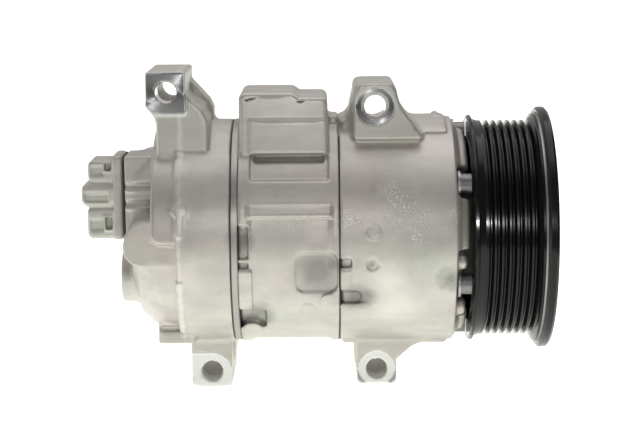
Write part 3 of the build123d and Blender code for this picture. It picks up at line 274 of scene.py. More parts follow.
class Cast:
    """A casting on a grid: solids are added and cut with soft joints, then it is meshed."""

    def __init__(self, low, high):
        self.low = [float(v) for v in low]
        self.axes = [np.arange(a, b + STEP, STEP, dtype=np.float32) for a, b in zip(low, high)]
        self.field = np.full([len(a) for a in self.axes], FAR, np.float32)

    def window(self, low, high):
        picks = []
        for axis, a, b in zip(self.axes, low, high):
            first = int(np.searchsorted(axis, a - MARGIN))
            last = int(np.searchsorted(axis, b + MARGIN))
            picks.append(slice(first, last))
        x, y, z = [axis[pick] for axis, pick in zip(self.axes, picks)]
        return tuple(picks), x[:, None, None], y[None, :, None], z[None, None, :]

    def add(self, solid, blend=CAST_BLEND):
        low, high, distance = solid
        picks, x, y, z = self.window(low, high)
        old = self.field[picks]
        new = distance(x, y, z).astype(np.float32)
        near = np.maximum(blend - np.abs(old - new), 0) / blend
        self.field[picks] = np.minimum(old, new) - near * near * (blend / 4)

    def cut(self, solid, blend=TOOL_BLEND):
        low, high, distance = solid
        picks, x, y, z = self.window(low, high)
        old = self.field[picks]
        new = -distance(x, y, z).astype(np.float32)
        near = np.maximum(blend - np.abs(old - new), 0) / blend
        self.field[picks] = np.maximum(old, new) + near * near * (blend / 4)

    def sample(self, points):
        """The field between grid points."""
        places = (points - np.array(self.low)) / STEP
        base = np.clip(places.astype(int), 0, np.array(self.field.shape) - 2)
        share = places - base
        total = 0
        for corner in np.ndindex(2, 2, 2):
            weight = np.prod(np.where(corner, share, 1 - share), axis=1)
            i, j, k = (base + corner).T
            total = total + weight * self.field[i, j, k]
        return total

    def normals(self, points):
        """Surface directions from the field's slope, smoother than the mesh's own."""
        slope = np.stack([
            self.sample(points + step) - self.sample(points - step) for step in np.eye(3) * STEP * 0.6
        ], axis=1)
        return slope / np.maximum(np.linalg.norm(slope, axis=1, keepdims=True), 1e-6)

    def piece(self, name, body, slot, replaced, milled=None):
        """Meshes the casting and makes it stand for its CAD node."""
        grid = openvdb.FloatGrid(FAR)
        grid.copyFromArray(self.field)
        grid.transform = openvdb.createLinearTransform(voxelSize=STEP)
        points, triangles, quads = grid.convertToPolygons(isovalue=0, adaptivity=FLATNESS)
        points = points.astype(float) + np.array(self.low)
        faces = [tuple(f) for f in triangles.tolist()] + [tuple(f) for f in quads.tolist()]
        mesh = bpy.data.meshes.new(name)
        mesh.from_pydata((points * MM).tolist(), [], faces)
        mesh.polygons.foreach_set("use_smooth", np.ones(len(faces), bool))
        if milled is not None:
            share = mesh.attributes.new("milled", "FLOAT", "POINT")
            share.data.foreach_set("value", milled(points).astype(np.float32))
        mesh.normals_split_custom_set_from_vertices(self.normals(points).tolist())
        obj = placed(name, mesh)
        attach(obj, body)
        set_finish(obj, slot)
        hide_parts(replaced)
        return obj


# =====================  the castings  =====================

UPPER_EAR_Y = (-36.0, 14.0)
LOWER_EAR_Y = (-20.0, 30.0)
EAR_BORE_R = 5.2
EAR_LAND = 15.0
EAR_RING_R = 9.3
# each ear: bolt centre (x, z), its span along Y, depth of the milled face, radius of the bore behind its land
EARS = {
    "front_upper": ((-65.2, 64.7), UPPER_EAR_Y, 0.9, 8.4),
    "front_lower": ((-64.4, -67.9), LOWER_EAR_Y, 1.2, 6.6),
    "rear_upper": ((-165.2, 72.0), UPPER_EAR_Y, 0.0, 5.3),
    "rear_lower": ((-146.3, -68.8), LOWER_EAR_Y, 1.8, 6.6),
}
# the front upper ear's bore opens through a shallow counterbore
MOUTH_R = 6.3
MOUTH_DEPTH = 1.0
# values of the castings' "milled" attribute
MILLED = 1.0
FACED = 0.5


def bolt_bores(cast, x0, x1):
    for y, z in round_the_shaft(BOLTS, BOLT_PITCH_R, BOLT_START):
        cast.cut(rod_x(BOLT_HOLE_R, x0, x1, y, z, 0.2))


def ear_bores(cast, name):
    (x, z), (y0, y1), face, core_r = EARS[name]
    if face:
        cast.cut(rod_y(EAR_RING_R, y0 - PAST, y0 + face, x, z, 0.1), 0.3)
    cast.cut(rod_y(EAR_BORE_R, y0 - 2, y1 + 2, x, z, 0.1), 0.5)
    cast.cut(rod_y(core_r, y0 + EAR_LAND, y1 + 2, x, z, 0.5))


def milled_front(points):
    """1 on the milled ring of the front upper ear, 0.5 on the lower ear's, 0 on cast skin."""
    upper = ear_share(points, "front_upper", EAR_RING_R + 0.2, MILLED)
    return upper + ear_share(points, "front_lower", EAR_RING_R, FACED)


def milled_rear(points):
    """1 on the milled face of the rear upper ear, 0.5 on the lower ear's, 0 on cast skin."""
    upper = ear_share(points, "rear_upper", 16.0, MILLED)
    return upper + ear_share(points, "rear_lower", 14.0, FACED)


def ear_share(points, name, reach, value):
    """A value on one ear's cut face and in its bore, 0 elsewhere."""
    (x, z), (y0, _), face, _ = EARS[name]
    r = np.hypot(points[:, 0] - x, points[:, 2] - z)
    on_face = (np.abs(points[:, 1] - y0 - face) < 0.35) & (r < reach)
    in_bore = (r < EAR_BORE_R + 0.25) & (points[:, 1] < y0 + EAR_LAND)
    return np.where(on_face | in_bore, value, 0.0)


def front_ears(cast):
    """The two ears of the front housing, their webs and their bolt bores."""
    y0, y1 = UPPER_EAR_Y
    web = [(-75.5, 48.6), (-75.2, 70.9), (-72.3, 75.4), (-57.3, 75.4), (-55.0, 71.4), (-53.0, 64.8),
           (-49.2, 59.3), (-45.8, 54.7), (-41.6, 48.6)]
    cast.add(outline_y(web, y0, y1 - 6, 1.6, 1.0), 4.5)
    body = [(-75.3, 50), (-75.3, 75.3), (-55.4, 75.3), (-55.4, 50)]
    cast.add(outline_y(body, y0 + 2, y1, 3.0, 2.0), 2.0)
    heel = [(-82.3, 40), (-82.3, 56.6), (-79.4, 58.2), (-77.0, 60.8), (-75.0, 66), (-68, 66), (-68, 40)]
    cast.add(outline_y(heel, y0 + 12, y1 - 4, 1.0, 2.4), 5.0)
    y0, y1 = LOWER_EAR_Y
    arm = [(-73.9, -45), (-73.9, -74.0), (-72.6, -75.3), (-56.2, -75.3), (-54.9, -74.0), (-54.9, -63.4),
           (-47.0, -56.6), (-40.2, -53.4), (-38.5, -45)]
    cast.add(outline_y(arm, y0, y1 - 5, 1.2, 1.0), 2.4)
    body = [(-73.7, -55), (-73.7, -75.2), (-55.1, -75.2), (-55.1, -55)]
    cast.add(outline_y(body, y0 + 1.5, y1, 2.0, 1.6), 2.0)
    heel = [(-75.6, -45), (-74.6, -66), (-70, -66), (-70, -45)]
    cast.add(outline_y(heel, y0 + 6, y1 - 6, 0.4, 1.5))
    ear_bores(cast, "front_upper")
    (x, z), (y0, _), face, _ = EARS["front_upper"]
    cast.cut(rod_y(MOUTH_R, y0 - PAST, y0 + face + MOUTH_DEPTH, x, z, 0.1), 0.3)
    ear_bores(cast, "front_lower")


def front_details(cast):
    """Pads, pockets and small cast marks on the near side of the front housing, and ribs out of its view."""
    joint = JOINT_X
    cast.add(ring_sector(-47.0, -30.2, 50.6, 57.3), 0.9)
    cast.add(rod_y(1.6, -6, 6, -34.4, 56.9, 0.6), 1.2)
    cast.add(side_pad(joint + 0.4, -77.6, -21.4, -11.2, 56.5, 0.6, 0.4), 0.8)
    cast.add(side_pad(joint + 0.4, -69.0, -31.2, -28.0, 56.8, 1.0, 0.8), 1.6)
    cast.add(side_disc(-67.1, 7.0, 3.7, 56.25), 0.5)
    cast.cut(side_dent(-67.1, 7.0, 2.9, 55.95), 0.4)
    cast.cut(side_dent(-67.3, -8.6, 2.9, 55.4, 0.3), 0.6)
    cast.cut(side_cut(joint - 1, -77.2, -9.8, -5.8, 53.6, 0.8), 0.9)
    cast.cut(side_cut(joint - 1, -73.0, -27.6, -22.6, 54.0, 2.2, 1.0), 3.0)
    cast.cut(side_cut(-66.4, -65.9, 24.8, 29.4, 55.7, 0.3, 0.2), 0.3)
    far_ribs(cast, RIB_ANGLES, RIB_R, BODY_R - 1.2, -79, -32)
    # parting line under the casing
    cast.add(block(joint + 1.5, -30, -17.4, -14.4, -55.2, -50, 0.4), 1.2)


def far_ribs(cast, angles, r, reach, x0, x1):
    """Ribs along the casting's far side, each a rod half sunk in it."""
    for angle in angles:
        y, z = round_the_shaft(1, reach, angle)[0]
        cast.add(rod_x(r, x0, x1, y, z, 1.5))


def crossed(first, second, edge):
    """What two solids share, with the edge between them rounded."""
    low = tuple(max(pair) for pair in zip(first[0], second[0]))
    high = tuple(min(pair) for pair in zip(first[1], second[1]))
    return low, high, lambda x, y, z: swept(first[2](x, y, z), second[2](x, y, z), edge)


def ring_sector(x0, x1, z0, r):
    """A raised cap over the top of the casing above a height."""
    def distance(x, y, z):
        flat = np.maximum(off_slab(x, x0, x1), z0 - z)
        return swept(flat, length2(y, z) - r, 0.9)
    return (x0, -40, z0), (x1, 40, r), distance


# the through bolts' seats in the front flange, and the slots that open them outwards
SEAT_R = 8.4
SEAT_DEPTH = 3.5
SLOT_HALF_WIDTH = 8.0
SLOT_LENGTH = 14.0
SLOT_OUTER_R = 66.0
# the notch in the front flange: its angles, depth and inner radius, and each lump's angle, place and radius
NOTCH_ANGLES = (-49, -3)
NOTCH_DEPTH = 3.6
NOTCH_R = 42.4
NOTCH_LUMPS = ((-10, 49.6, 3.4), (-41, 49.2, 4.2))
# how far the cutters run out past the front flange
OUT = 6.0


def radial_pocket(y, z, x0):
    """The slot that opens a bolt's seat to the outside of the flange."""
    reach = math.hypot(y, z)
    out_y, out_z = y / reach, z / reach

    def distance(px, py, pz):
        beside = np.abs(py * out_z - pz * out_y) - SLOT_HALF_WIDTH
        beyond = reach - (py * out_y + pz * out_z)
        return swept(np.maximum(beside, beyond), x0 - px, 0.6)
    far = SLOT_OUTER_R
    side = SLOT_HALF_WIDTH + 1
    low = (x0, min(y, out_y * far) - side, min(z, out_z * far) - side)
    high = (x0 + SLOT_LENGTH, max(y, out_y * far) + side, max(z, out_z * far) + side)
    return low, high, distance


def front_flange(cast):
    """The pulley end: the notch, the two lumps in it and the seats of the through bolts."""
    low, high = [math.radians(angle) for angle in NOTCH_ANGLES]
    face = FRONT_X
    floor_x = face - NOTCH_DEPTH

    def notch(x, y, z):
        r = length2(y, z)
        angle = np.arctan2(z, -y)
        beside = np.maximum(low - angle, angle - high) * r
        return swept(np.maximum(beside, NOTCH_R - r), off_slab(x, floor_x, face + OUT), 0.8)
    cast.cut(((floor_x, -62, -52), (face + OUT, -20, 4), notch), 1.6)
    for angle, r, size in NOTCH_LUMPS:
        y, z = round_the_shaft(1, r, angle)[0]
        cast.add(rod_x(size, face - 8, face + 0.6, y, z, 1.8), 1.6)
    for y, z in round_the_shaft(BOLTS, BOLT_PITCH_R, BOLT_START):
        cast.cut(rod_x(SEAT_R, face - SEAT_DEPTH, face + OUT, y, z, 0.6), 1.4)
        cast.cut(radial_pocket(y, z, face - SEAT_DEPTH), 0.8)


def front_casting():
    nose = span_mm("pulley_bearing_inner_race", 0)
    nose_end = nose[1] + 2.1
    nose_r = 17.5
    seal_r = radius_mm("shaft_seal_case")
    cup_r = radius_mm("front_bearing_cup")
    cup = span_mm("front_bearing_cup", 0)
    cast = Cast((JOINT_X - 2, -63, -79), (nose[1] + 5, 63, 79))
    cast.add(turned([(JOINT_X, -9), (JOINT_X, BODY_R), (-27.4, BODY_R), (-24.6, 51.4), (-21.6, 50.4),
                     (-20.6, 48.6), (-20.6, 45.0), (FRONT_X, 44.4), (FRONT_X, 27), (nose[0] - 1, 23),
                     (nose[0] - 1, nose_r), (nose_end, nose_r), (nose_end, -9)], 0.5))
    front_ears(cast)
    front_flange(cast)
    front_details(cast)
    cast.cut(rod_x(CHAMBER_R, JOINT_X - PAST, CHAMBER_END_X, edge=0.5), 2.0)
    for y, z in round_the_shaft(CYLINDERS, CYLINDER_PITCH_R, CYLINDER_START):
        cast.cut(rod_x(PISTON_ROOM_R, JOINT_X - PAST, CHAMBER_END_X, y, z, 0.5), 2.0)
    cast.cut(rod_x(cup_r + SLIP, BEARING_END_X, cup[1], edge=0.1))
    cast.cut(rod_x(11.2, BEARING_END_X, -17, edge=0.1))
    cast.cut(rod_x(seal_r + SLIP, SEAL_END_X, nose[1] + 6, edge=0.1))
    bolt_bores(cast, JOINT_X - PAST, FRONT_X + PAST)
    return cast.piece("front_casting", "casing", "cast_aluminium", "front_housing", milled_front)


def block_details(cast):
    """The near side of the cylinder block: window, band, panel, dish, discs and the foot pocket."""
    x0, x1 = BLOCK_X
    r = BODY_R
    cast.add(block(-125.3, -88.9, -38.2, -20, 42.6, 58.6, 0.7), 1.6)
    cast.cut(side_cut(-125.2, -88.0, 30.9, 42.4, r - 1.3, 0.9, 0.5), 1.2)
    cast.cut(side_cut(-123.4, -90.0, 38.2, 41.4, r - 3.6, 0.6, 0.4), 0.8)
    bar = [(-46, 19.8), (-53.0, 19.6), (-56.6, 15.6), (-56.4, 13.8), (-46, 13.6)]
    cast.add(outline_x(bar, -125.8, -86.8, 1.0, 1.0), 1.6)
    cast.cut(side_cut(-125.0, -87.6, -60.0, 13.8, r - 1.0, 1.2, 0.8), 2.4)
    cast.cut(side_cut(-103.6, -84.0, -22.4, -3.0, r - 2.6, 4.0, 1.0), 2.0)
    cast.add(side_disc(-88.2, -27.9, 4.3, r - 0.3), 0.7)
    cast.add(side_disc(-98.2, -32.2, 3.3, r - 0.5), 0.7)
    cast.cut(side_dent(-88.2, -27.9, 3.0, r - 0.5), 0.5)
    cast.cut(side_cut(x0 - 1, -126.2, -5.4, 10.4, r - 2.6, 1.0, 0.5), 0.8)
    cast.cut(side_cut(x0 - 1, -126.2, -10.2, -7.2, r - 3.2, 0.6, 0.4), 0.6)
    cast.add(side_pad(x0 + 0.2, -124.6, -31.4, -11.2, r + 0.8, 0.5, 0.5), 0.8)
    cast.cut(side_cut(x0 - 1, -118.4, -42.6, -32.0, r - 4.4, 1.6, 0.9), 1.6)
    cast.add(side_disc(-125.4, -45.4, 5.4, r - 0.4, 0.8), 1.0)
    # shallow nicks under the bump's near edge
    for nick in ([(-127.6, 68.2), (-122.0, 69.8), (-122.0, 69.2), (-127.6, 67.4)],
                 [(-103.0, 67.6), (-99.0, 67.6), (-100.2, 66.9), (-102.2, 66.9)]):
        cast.cut(outline_y(nick, -40, -34.0, 0.1, 0.1), 0.2)
    far_ribs(cast, BLOCK_RIB_ANGLES, 2.8, r - 1.4, x0 + 3, x1 - 3)


def block_bump():
    """The bump on top: its stepped outline from the side, crossed with its outline along the shaft."""
    x0 = BLOCK_X[0] + 0.3
    foot, low, high = 34, 69.3, 71.6
    from_side = [(x0, foot), (x0 + 0.3, high), (-104.9, high), (-101.6, low), (-88.0, low), (-88.0, foot)]
    from_end = [(-38.4, foot), (-36.6, 74), (11, 74), (24, foot)]
    across = outline_y(from_side, -60, 60, 3.2, 0.1)
    along = outline_x(from_end, x0 - 2, -86, 0.5, 0.1)
    return crossed(across, along, 1.9)


def block_casting():
    x0, x1 = BLOCK_X
    cast = Cast((x0 - 2, -62, -60), (x1 + 2, 62, 76))
    cast.add(rod_x(BODY_R, x0, x1, edge=0.5))
    cast.add(block_bump(), 1.8)
    cast.add(block(-90, x1, -16, 6, 40, 58.4, 1.4), 2.4)
    block_details(cast)
    for y, z in round_the_shaft(CYLINDERS, CYLINDER_PITCH_R, CYLINDER_START):
        cast.cut(rod_x(CYLINDER_R, x0 - PAST, x1 + PAST, y, z, 0.1))
    cast.cut(rod_x(radius_mm("rear_bearing_cup") + SLIP, x0 - PAST, x1 + PAST, edge=0.1))
    bolt_bores(cast, x0 - PAST, x1 + PAST)
    return cast.piece("block_casting", "casing", "cast_aluminium", "cylinder_block")


def rear_ears(cast):
    """The two ears of the rear housing, their webs and their bolt bores."""
    y0, y1 = UPPER_EAR_Y
    face = [(-174.9, 65.4), (-174.9, 82.0), (-155.8, 82.0), (-155.8, 61.8), (-170.6, 61.8)]
    cast.add(outline_y(face, y0, y1, 1.4, 0.5), 0.8)
    neck = [(-175.4, 66), (-171.4, 60.6), (-170.2, 56.6), (-170.2, 38), (-145.4, 38), (-145.4, 58.3),
            (-147.8, 63.4), (-152.1, 67.2), (-156, 71.0), (-160, 74)]
    cast.add(outline_y(neck, y0 + 0.9, y1 - 6, 1.4, 1.6), 2.2)
    back = [(-160, 45), (-160, 76), (-154.6, 74.6), (-146.4, 65.6), (-144.4, 61.4), (-144.2, 56.6),
            (-141.4, 50), (-141.0, 40)]
    cast.add(outline_y(back, -6, y1 - 2, 1.6, 1.6), 2.0)
    y0, y1 = LOWER_EAR_Y
    arm = [(-156.6, -45), (-156.0, -74.8), (-154.6, -76.4), (-138.0, -76.4), (-136.4, -74.4), (-136.0, -45)]
    cast.add(outline_y(arm, y0, y1 - 4, 1.0, 1.0), 2.2)
    body = [(-155.8, -56), (-155.8, -76.3), (-136.8, -76.3), (-136.8, -56)]
    cast.add(outline_y(body, y0 + 2, y1, 2, 1.6), 2)
    heel = [(-137.4, -45), (-137.4, -66), (-134.8, -63), (-134.8, -45)]
    cast.add(outline_y(heel, y0 + 8, y1 - 6, 0.4, 1.0), 1.0)
    pad = [(-157.5, -59.4), (-146.0, -59.4), (-141.2, -60.8), (-137.8, -63.8), (-136.0, -68.8),
           (-135.0, -78), (-157.5, -78)]
    cast.cut(outline_y(pad, y0 - PAST, y0 + EARS["rear_lower"][2], 0.8, 0.2), 0.4)
    ear_bores(cast, "rear_upper")
    ear_bores(cast, "rear_lower")


# the step from the rear housing's flange to its dome
STEP_X = -160.2
# the small round boss under the port block, and the port block's near face
END_BOSS_YZ = (-15.0, -20.2)
PORT_BLOCK_Y = -27.0


def rear_body(cast):
    """The rear housing's flange, dome, port block, bosses and the shell above them."""
    flange = PLATE_X
    cast.add(turned([(STEP_X, -9), (STEP_X, REAR_R), (flange, REAR_R), (flange, -9)], 0.6))
    dome = [(-150, -9), (-150, 50.8), (-162, 50.8), (-168.4, 49.6), (-174.4, 46.6), (-179.8, 41.8),
            (-183.4, 34.8), (-184.2, 25), (-184.2, -9)]
    cast.add(turned(dome, 1.6), 2.0)
    # the dome is stepped back to the port block on its near side and cut level with it on top
    cast.cut(block(-200, -171.8, -70, -27.2, 4, 70, 1.0), 1.8)
    cast.cut(block(-200, -172.8, -60, 60, 40.0, 70, 0.4), 0.8)
    cast.add(block(-187.0, -166.0, PORT_BLOCK_Y, 0.0, -2.0, 40.4, 1.0), 2.0)
    # a groove and a ridge below each lobe of the port block
    for z in (26.0, 17.4):
        cast.cut(rod_x(1.6, -190, -172, -27.9, z, 0.4), 0.9)
        cast.add(rod_x(0.8, -186.6, -172, PORT_BLOCK_Y, z - 2.4, 0.4), 0.9)
    cast.add(upper_shell(-172.6, -156.0, 1.0, 52.8), 1.6)
    cast.add(rod_x(13.0, -189.6, -170, *END_BOSS_YZ, 1.6), 2.4)
    cast.cut(rod_x(9.4, -193, -188.2, *END_BOSS_YZ, 0.6))
    cross_boss = [(-186.0, -0.6), (-185.2, -5.0), (-182.2, -8.4), (-177.5, -9.8), (STEP_X, -9.8),
                  (STEP_X, 12.0), (-177.0, 12.0), (-182.0, 9.6), (-185.2, 5.0)]
    cast.add(outline_y(cross_boss, -50.2, 45.0, 1.2, 0.6), 0.6)


def upper_shell(x0, x1, z0, r):
    """The upper half of the rear casing, which runs further back than the lower half."""
    def distance(x, y, z):
        flat = swept(off_slab(x, x0, x1), z0 - z, 4.4)
        return swept(flat, length2(y, z) - r, 1.6)
    return (x0, -r, z0), (x1, r, r), distance


def rear_details(cast):
    """The foot and its slot, the parting seam's ridges on the near side and the far ribs."""
    cast.add(block(-171.9, -154.0, -27.0, 22.0, -52.8, -36.0, 1.2), 1.2)
    cast.cut(block(-170.8, -159.4, -32, -25.4, -46.4, -43.8, 0.6), 0.6)
    rib_r = REAR_R + 0.15
    cast.add(side_pad(-160.4, -157.2, 5.0, 44.0, rib_r, 1.4, 0.8), 1.6)
    cast.add(side_pad(-162.6, -155.0, 15.0, 19.6, rib_r, 2.2, 0.8), 1.6)
    cast.add(side_pad(-161.8, -156.6, 31.0, 41.0, rib_r, 2.4, 0.8), 1.6)
    cast.add(side_pad(-160.9, -157.8, -46.0, -17.0, REAR_R + 0.6, 1.0, 0.8), 1.4)
    far_ribs(cast, RIB_ANGLES, RIB_R, REAR_R - 1.2, -158, PLATE_X - 3)


# the chambers of the rear housing: depth from its flange, outer chamber's radii, inner chamber's radius
CHAMBER_DEPTH = 15.0
OUTER_CHAMBER = (30.0, 42.0)
INNER_CHAMBER_R = 25.0
# each hole in the port block: height, radius, depth
PORT_HOLES = ((8.4, 7.4, 9.0), (32.6, 5.6, 10.0), (32.6, 5.0, 24.0), (21.2, 4.0, 14.0))
# the cross bore for the control valve: its centre (x, z)
VALVE_XZ = (-170.0, 1.0)


def rear_bores(cast):
    """Chambers, bolt bores, ports and the control valve's cross bore."""
    flange = PLATE_X
    depth = flange - CHAMBER_DEPTH
    inner, outer = OUTER_CHAMBER

    def ring_chamber(x, y, z):
        r = length2(y, z)
        return swept(np.maximum(inner - r, r - outer), off_slab(x, depth, flange + PAST), 1.0)
    cast.cut(((depth, -outer, -outer), (flange + PAST, outer, outer), ring_chamber), 1.0)
    cast.cut(rod_x(INNER_CHAMBER_R, depth, flange + PAST), 1.0)
    bolt_bores(cast, -153, flange + PAST)
    low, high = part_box("port_cover_gasket")
    y = (low[1] + high[1]) / 2 / MM
    for z, r, deep in PORT_HOLES:
        cast.cut(rod_x(r, -191, -187.0 + deep, y, z, 0.1), 0.3)
    cast.cut(rod_y(7.0, -34, 60, *VALVE_XZ, 0.1), 0.3)
    cast.cut(rod_y(9.7, 27, 62, *VALVE_XZ, 0.1), 0.3)


def rear_casting():
    cast = Cast((-193, -62, -80), (PLATE_X + 2, 62, 86))
    rear_body(cast)
    rear_ears(cast)
    rear_details(cast)
    rear_bores(cast)
    return cast.piece("rear_casting", "casing", "cast_aluminium", "rear_housing", milled_rear)


# the shipping cover's lobes: left end x, z from, z to, near face y, corner radius
LOBES = ((-204.9, 27.0, 38.2, -25.0, 2.8), (-208.2, 15.4, 27.4, -26.2, 4.0), (-205.6, -0.3, 15.6, -25.4, 3.0))
# shallow panels and deep windows in their near faces: x from, x to, z from, z to, near face y
PANELS = ((-203.4, -197.6, 31.2, 35.6, -25.0), (-206.4, -195.0, 18.0, 22.4, -26.2),
          (-203.8, -197.4, 4.0, 9.4, -25.4))
WINDOWS = ((-196.6, -193.4, 33.4, 37.0, -25.0), (-196.6, -193.4, 4.6, 10.8, -25.4))
COVER_Y = (-27.0, -1.0)
COVER_FLANGE = 5.3
COVER_BOLT_Z = 21.2


def cover_casting():
    """The rough shipping cover: a flange and three lobes with small panels and windows."""
    x1 = span_mm("port_cover_gasket", 0)[0]
    flange = x1 - COVER_FLANGE
    y0, y1 = COVER_Y
    far_end = -212
    cast = Cast((-211, -31, -5), (x1 + 6, 3, 45))
    cast.add(block(flange, x1, y0, y1, -0.6, 40.6, 1.6), 1.0)
    for x, z0, z1, near, corner in LOBES:
        lobe = [(x, z0), (x, z1), (flange + 2, z1), (flange + 2, z0)]
        cast.add(outline_y(lobe, near, y1 - 1.6, corner, 2.0), 1.2)
    # valleys between the lobes
    for z in (27.2, 15.5):
        cast.cut(rod_x(1.7, far_end, flange + 0.4, y0, z, 0.5), 1.4)
    for xa, xb, z0, z1, near in PANELS:
        cast.cut(block(xa, xb, near - PAST, near + 0.9, z0, z1, 0.4), 0.8)
    for xa, xb, z0, z1, near in WINDOWS:
        cast.add(block(xa - 0.8, xb + 0.4, near - 0.7, near + 2, z0 - 0.8, z1 + 0.8, 0.4), 0.6)
        cast.cut(block(xa, xb, near - PAST, near + 2.4, z0, z1, 0.3), 0.4)
    y = (y0 + y1) / 2
    cast.cut(rod_x(3.2, far_end, x1 + PAST, y, COVER_BOLT_Z, 0.1), 0.3)
    cast.cut(rod_x(5.2, far_end, -200, y, COVER_BOLT_Z, 0.3), 0.5)
    return cast.piece("cover_casting", "port_cap", "cover_casting", "port_cover")


# =====================  materials  =====================

class Look:
    """A node material with one Principled shader and a few helpers."""

    def __init__(self, name, colour, metallic=0.0, roughness=0.5, **sockets):
        self.material = bpy.data.materials.new(name)
        self.material.use_nodes = True
        self.tree = self.material.node_tree
        self.shader = self.tree.nodes["Principled BSDF"]
        self.set(self.shader, "Base Color", (*colour, 1))
        self.set(self.shader, "Metallic", metallic)
        self.set(self.shader, "Roughness", roughness)
        for socket, value in sockets.items():
            self.set(self.shader, socket.replace("_", " "), value)
        self.place = self.add("ShaderNodeTexCoord").outputs["Object"]

    def set(self, node, socket, value):
        node.inputs[socket].default_value = value

    def add(self, kind, links=None, values=None, **settings):
        node = self.tree.nodes.new(kind)
        for key, value in settings.items():
            setattr(node, key, value)
        for socket, value in (values or {}).items():
            node.inputs[socket].default_value = value
        for socket, output in (links or {}).items():
            self.tree.links.new(output, node.inputs[socket])
        return node

    def link(self, output, node, socket):
        self.tree.links.new(output, node.inputs[socket])

    def noise(self, scale, detail=3.0, rough=0.55, stretch=None):
        place = self.place
        if stretch:
            place = self.add("ShaderNodeMapping", {"Vector": place}, {"Scale": stretch}).outputs[0]
        values = {"Scale": scale, "Detail": detail, "Roughness": rough}
        return self.add("ShaderNodeTexNoise", {"Vector": place}, values).outputs["Fac"]

    def remap(self, value, low, high, to_low=0.0, to_high=1.0):
        values = {"From Min": low, "From Max": high, "To Min": to_low, "To Max": to_high}
        return self.add("ShaderNodeMapRange", {"Value": value}, values).outputs["Result"]

    def mix(self, share, a, b, blend="MIX"):
        """Mixes two colours, each a tuple or an output, by a number or an output."""
        node = self.add("ShaderNodeMix", data_type="RGBA", blend_type=blend)
        if isinstance(share, float):
            node.inputs["Factor"].default_value = share
        else:
            self.tree.links.new(share, node.inputs["Factor"])
        for socket, colour in (("A", a), ("B", b)):
            target = next(s for s in node.inputs if s.name == socket and s.type == "RGBA")
            if isinstance(colour, tuple):
                target.default_value = (*colour, 1)
            else:
                self.tree.links.new(colour, target)
        return next(s for s in node.outputs if s.type == "RGBA")

    def maths(self, operation, a, b):
        node = self.add("ShaderNodeMath", operation=operation)
        for i, value in enumerate((a, b)):
            if isinstance(value, (int, float)):
                node.inputs[i].default_value = value
            else:
                self.tree.links.new(value, node.inputs[i])
        return node.outputs[0]

    def bump(self, height, strength, distance, before=None):
        links = {"Height": height}
        if before is not None:
            links["Normal"] = before
        values = {"Strength": strength, "Distance": distance}
        return self.add("ShaderNodeBump", links, values).outputs["Normal"]


def cast_skin(look, light, dark, tints, grain, bumps):
    """Die-cast skin: broad mottling, a faint warm and cool drift, fine grain and shallow dents."""
    mottle = look.remap(look.noise(44.0, 7.0, 0.66), 0.34, 0.66)
    smears = look.remap(look.noise(110.0, 5.0, 0.64, (0.28, 1.0, 1.0)), 0.36, 0.64)
    mottle = look.maths("ADD", look.maths("MULTIPLY", mottle, 0.55), look.maths("MULTIPLY", smears, 0.45))
    drift = look.remap(look.noise(17.0, 2.0), 0.36, 0.64)
    colour = look.mix(1.0, look.mix(mottle, dark, light), look.mix(drift, *tints), "MULTIPLY")
    fine = look.noise(grain, 4.0, 0.6)
    dents = look.noise(95.0, 2.0, 0.4)
    normal = look.bump(dents, bumps[0], 0.0006)
    normal = look.bump(fine, bumps[1], 0.00012, normal)
    return colour, fine, normal


def glint_mask(look):
    """Painted glints: bright specks painted in the middle of the near side, where the casting is also made
    glossier.
    """
    spots = look.add("ShaderNodeTexVoronoi", {"Vector": look.place}, {"Scale": 900.0}).outputs["Distance"]
    specks = look.remap(spots, 0.46, 0.28)
    patches = look.remap(look.noise(90.0, 5.0, 0.7), 0.46, 0.58)
    mask = look.maths("MULTIPLY", specks, patches)
    return look.maths("MULTIPLY", mask, patch_mask(look, GLINTS))


def patch_mask(look, patches):
    """1 in the middle of each patch, fading to 0 at its reach, with a ragged outline."""
    total = None
    ragged = look.maths("MULTIPLY", look.noise(120.0, 4.0, 0.6), 9 * MM)
    for x, y, z, reach in patches:
        centre = {1: (x * MM, y * MM, z * MM)}
        near = look.add("ShaderNodeVectorMath", {0: look.place}, centre, operation="DISTANCE")
        away = look.maths("ADD", near.outputs["Value"], look.maths("SUBTRACT", ragged, 4.5 * MM))
        spot = look.remap(away, reach * MM, reach * MM * 0.25)
        total = spot if total is None else look.maths("MAXIMUM", total, spot)
    return total


# patches on the castings' near side: centre (x, y, z) and reach, in millimetres
# dark patches in the pockets, recesses and dents: painted shade, with some soot
SHADE_AND_SOOT = ((-94.0, -52.0, -12.0, 15.0), (-86.0, -54.0, -9.0, 8.0), (-75.0, -50.0, -25.0, 9.0),
        (-70.0, -50.0, -25.0, 7.0), (-130.0, -54.0, 3.0, 8.0), (-122.0, -42.5, -35.5, 10.0),
        (-30.0, -53.0, -16.0, 8.0), (-67.3, -55.5, -8.6, 4.0))
SHADE_AND_SOOT_COLOUR = (0.17, 0.165, 0.16)
SHADE_AND_SOOT_SHARE = 0.68
# pale cream patches: painted light from below on the front housing's lower side, and painted highlights on
# the rear seam's ridges
PAINTED_LIGHT = ((-55.0, -47.0, -30.0, 16.0), (-60.0, -50.0, -16.0, 12.0), (-158.8, -44.0, 36.0, 6.5),
        (-158.8, -53.0, 17.4, 5.5))
PAINTED_LIGHT_COLOUR = (0.84, 0.84, 0.78)
PAINTED_LIGHT_SHARE = 0.45
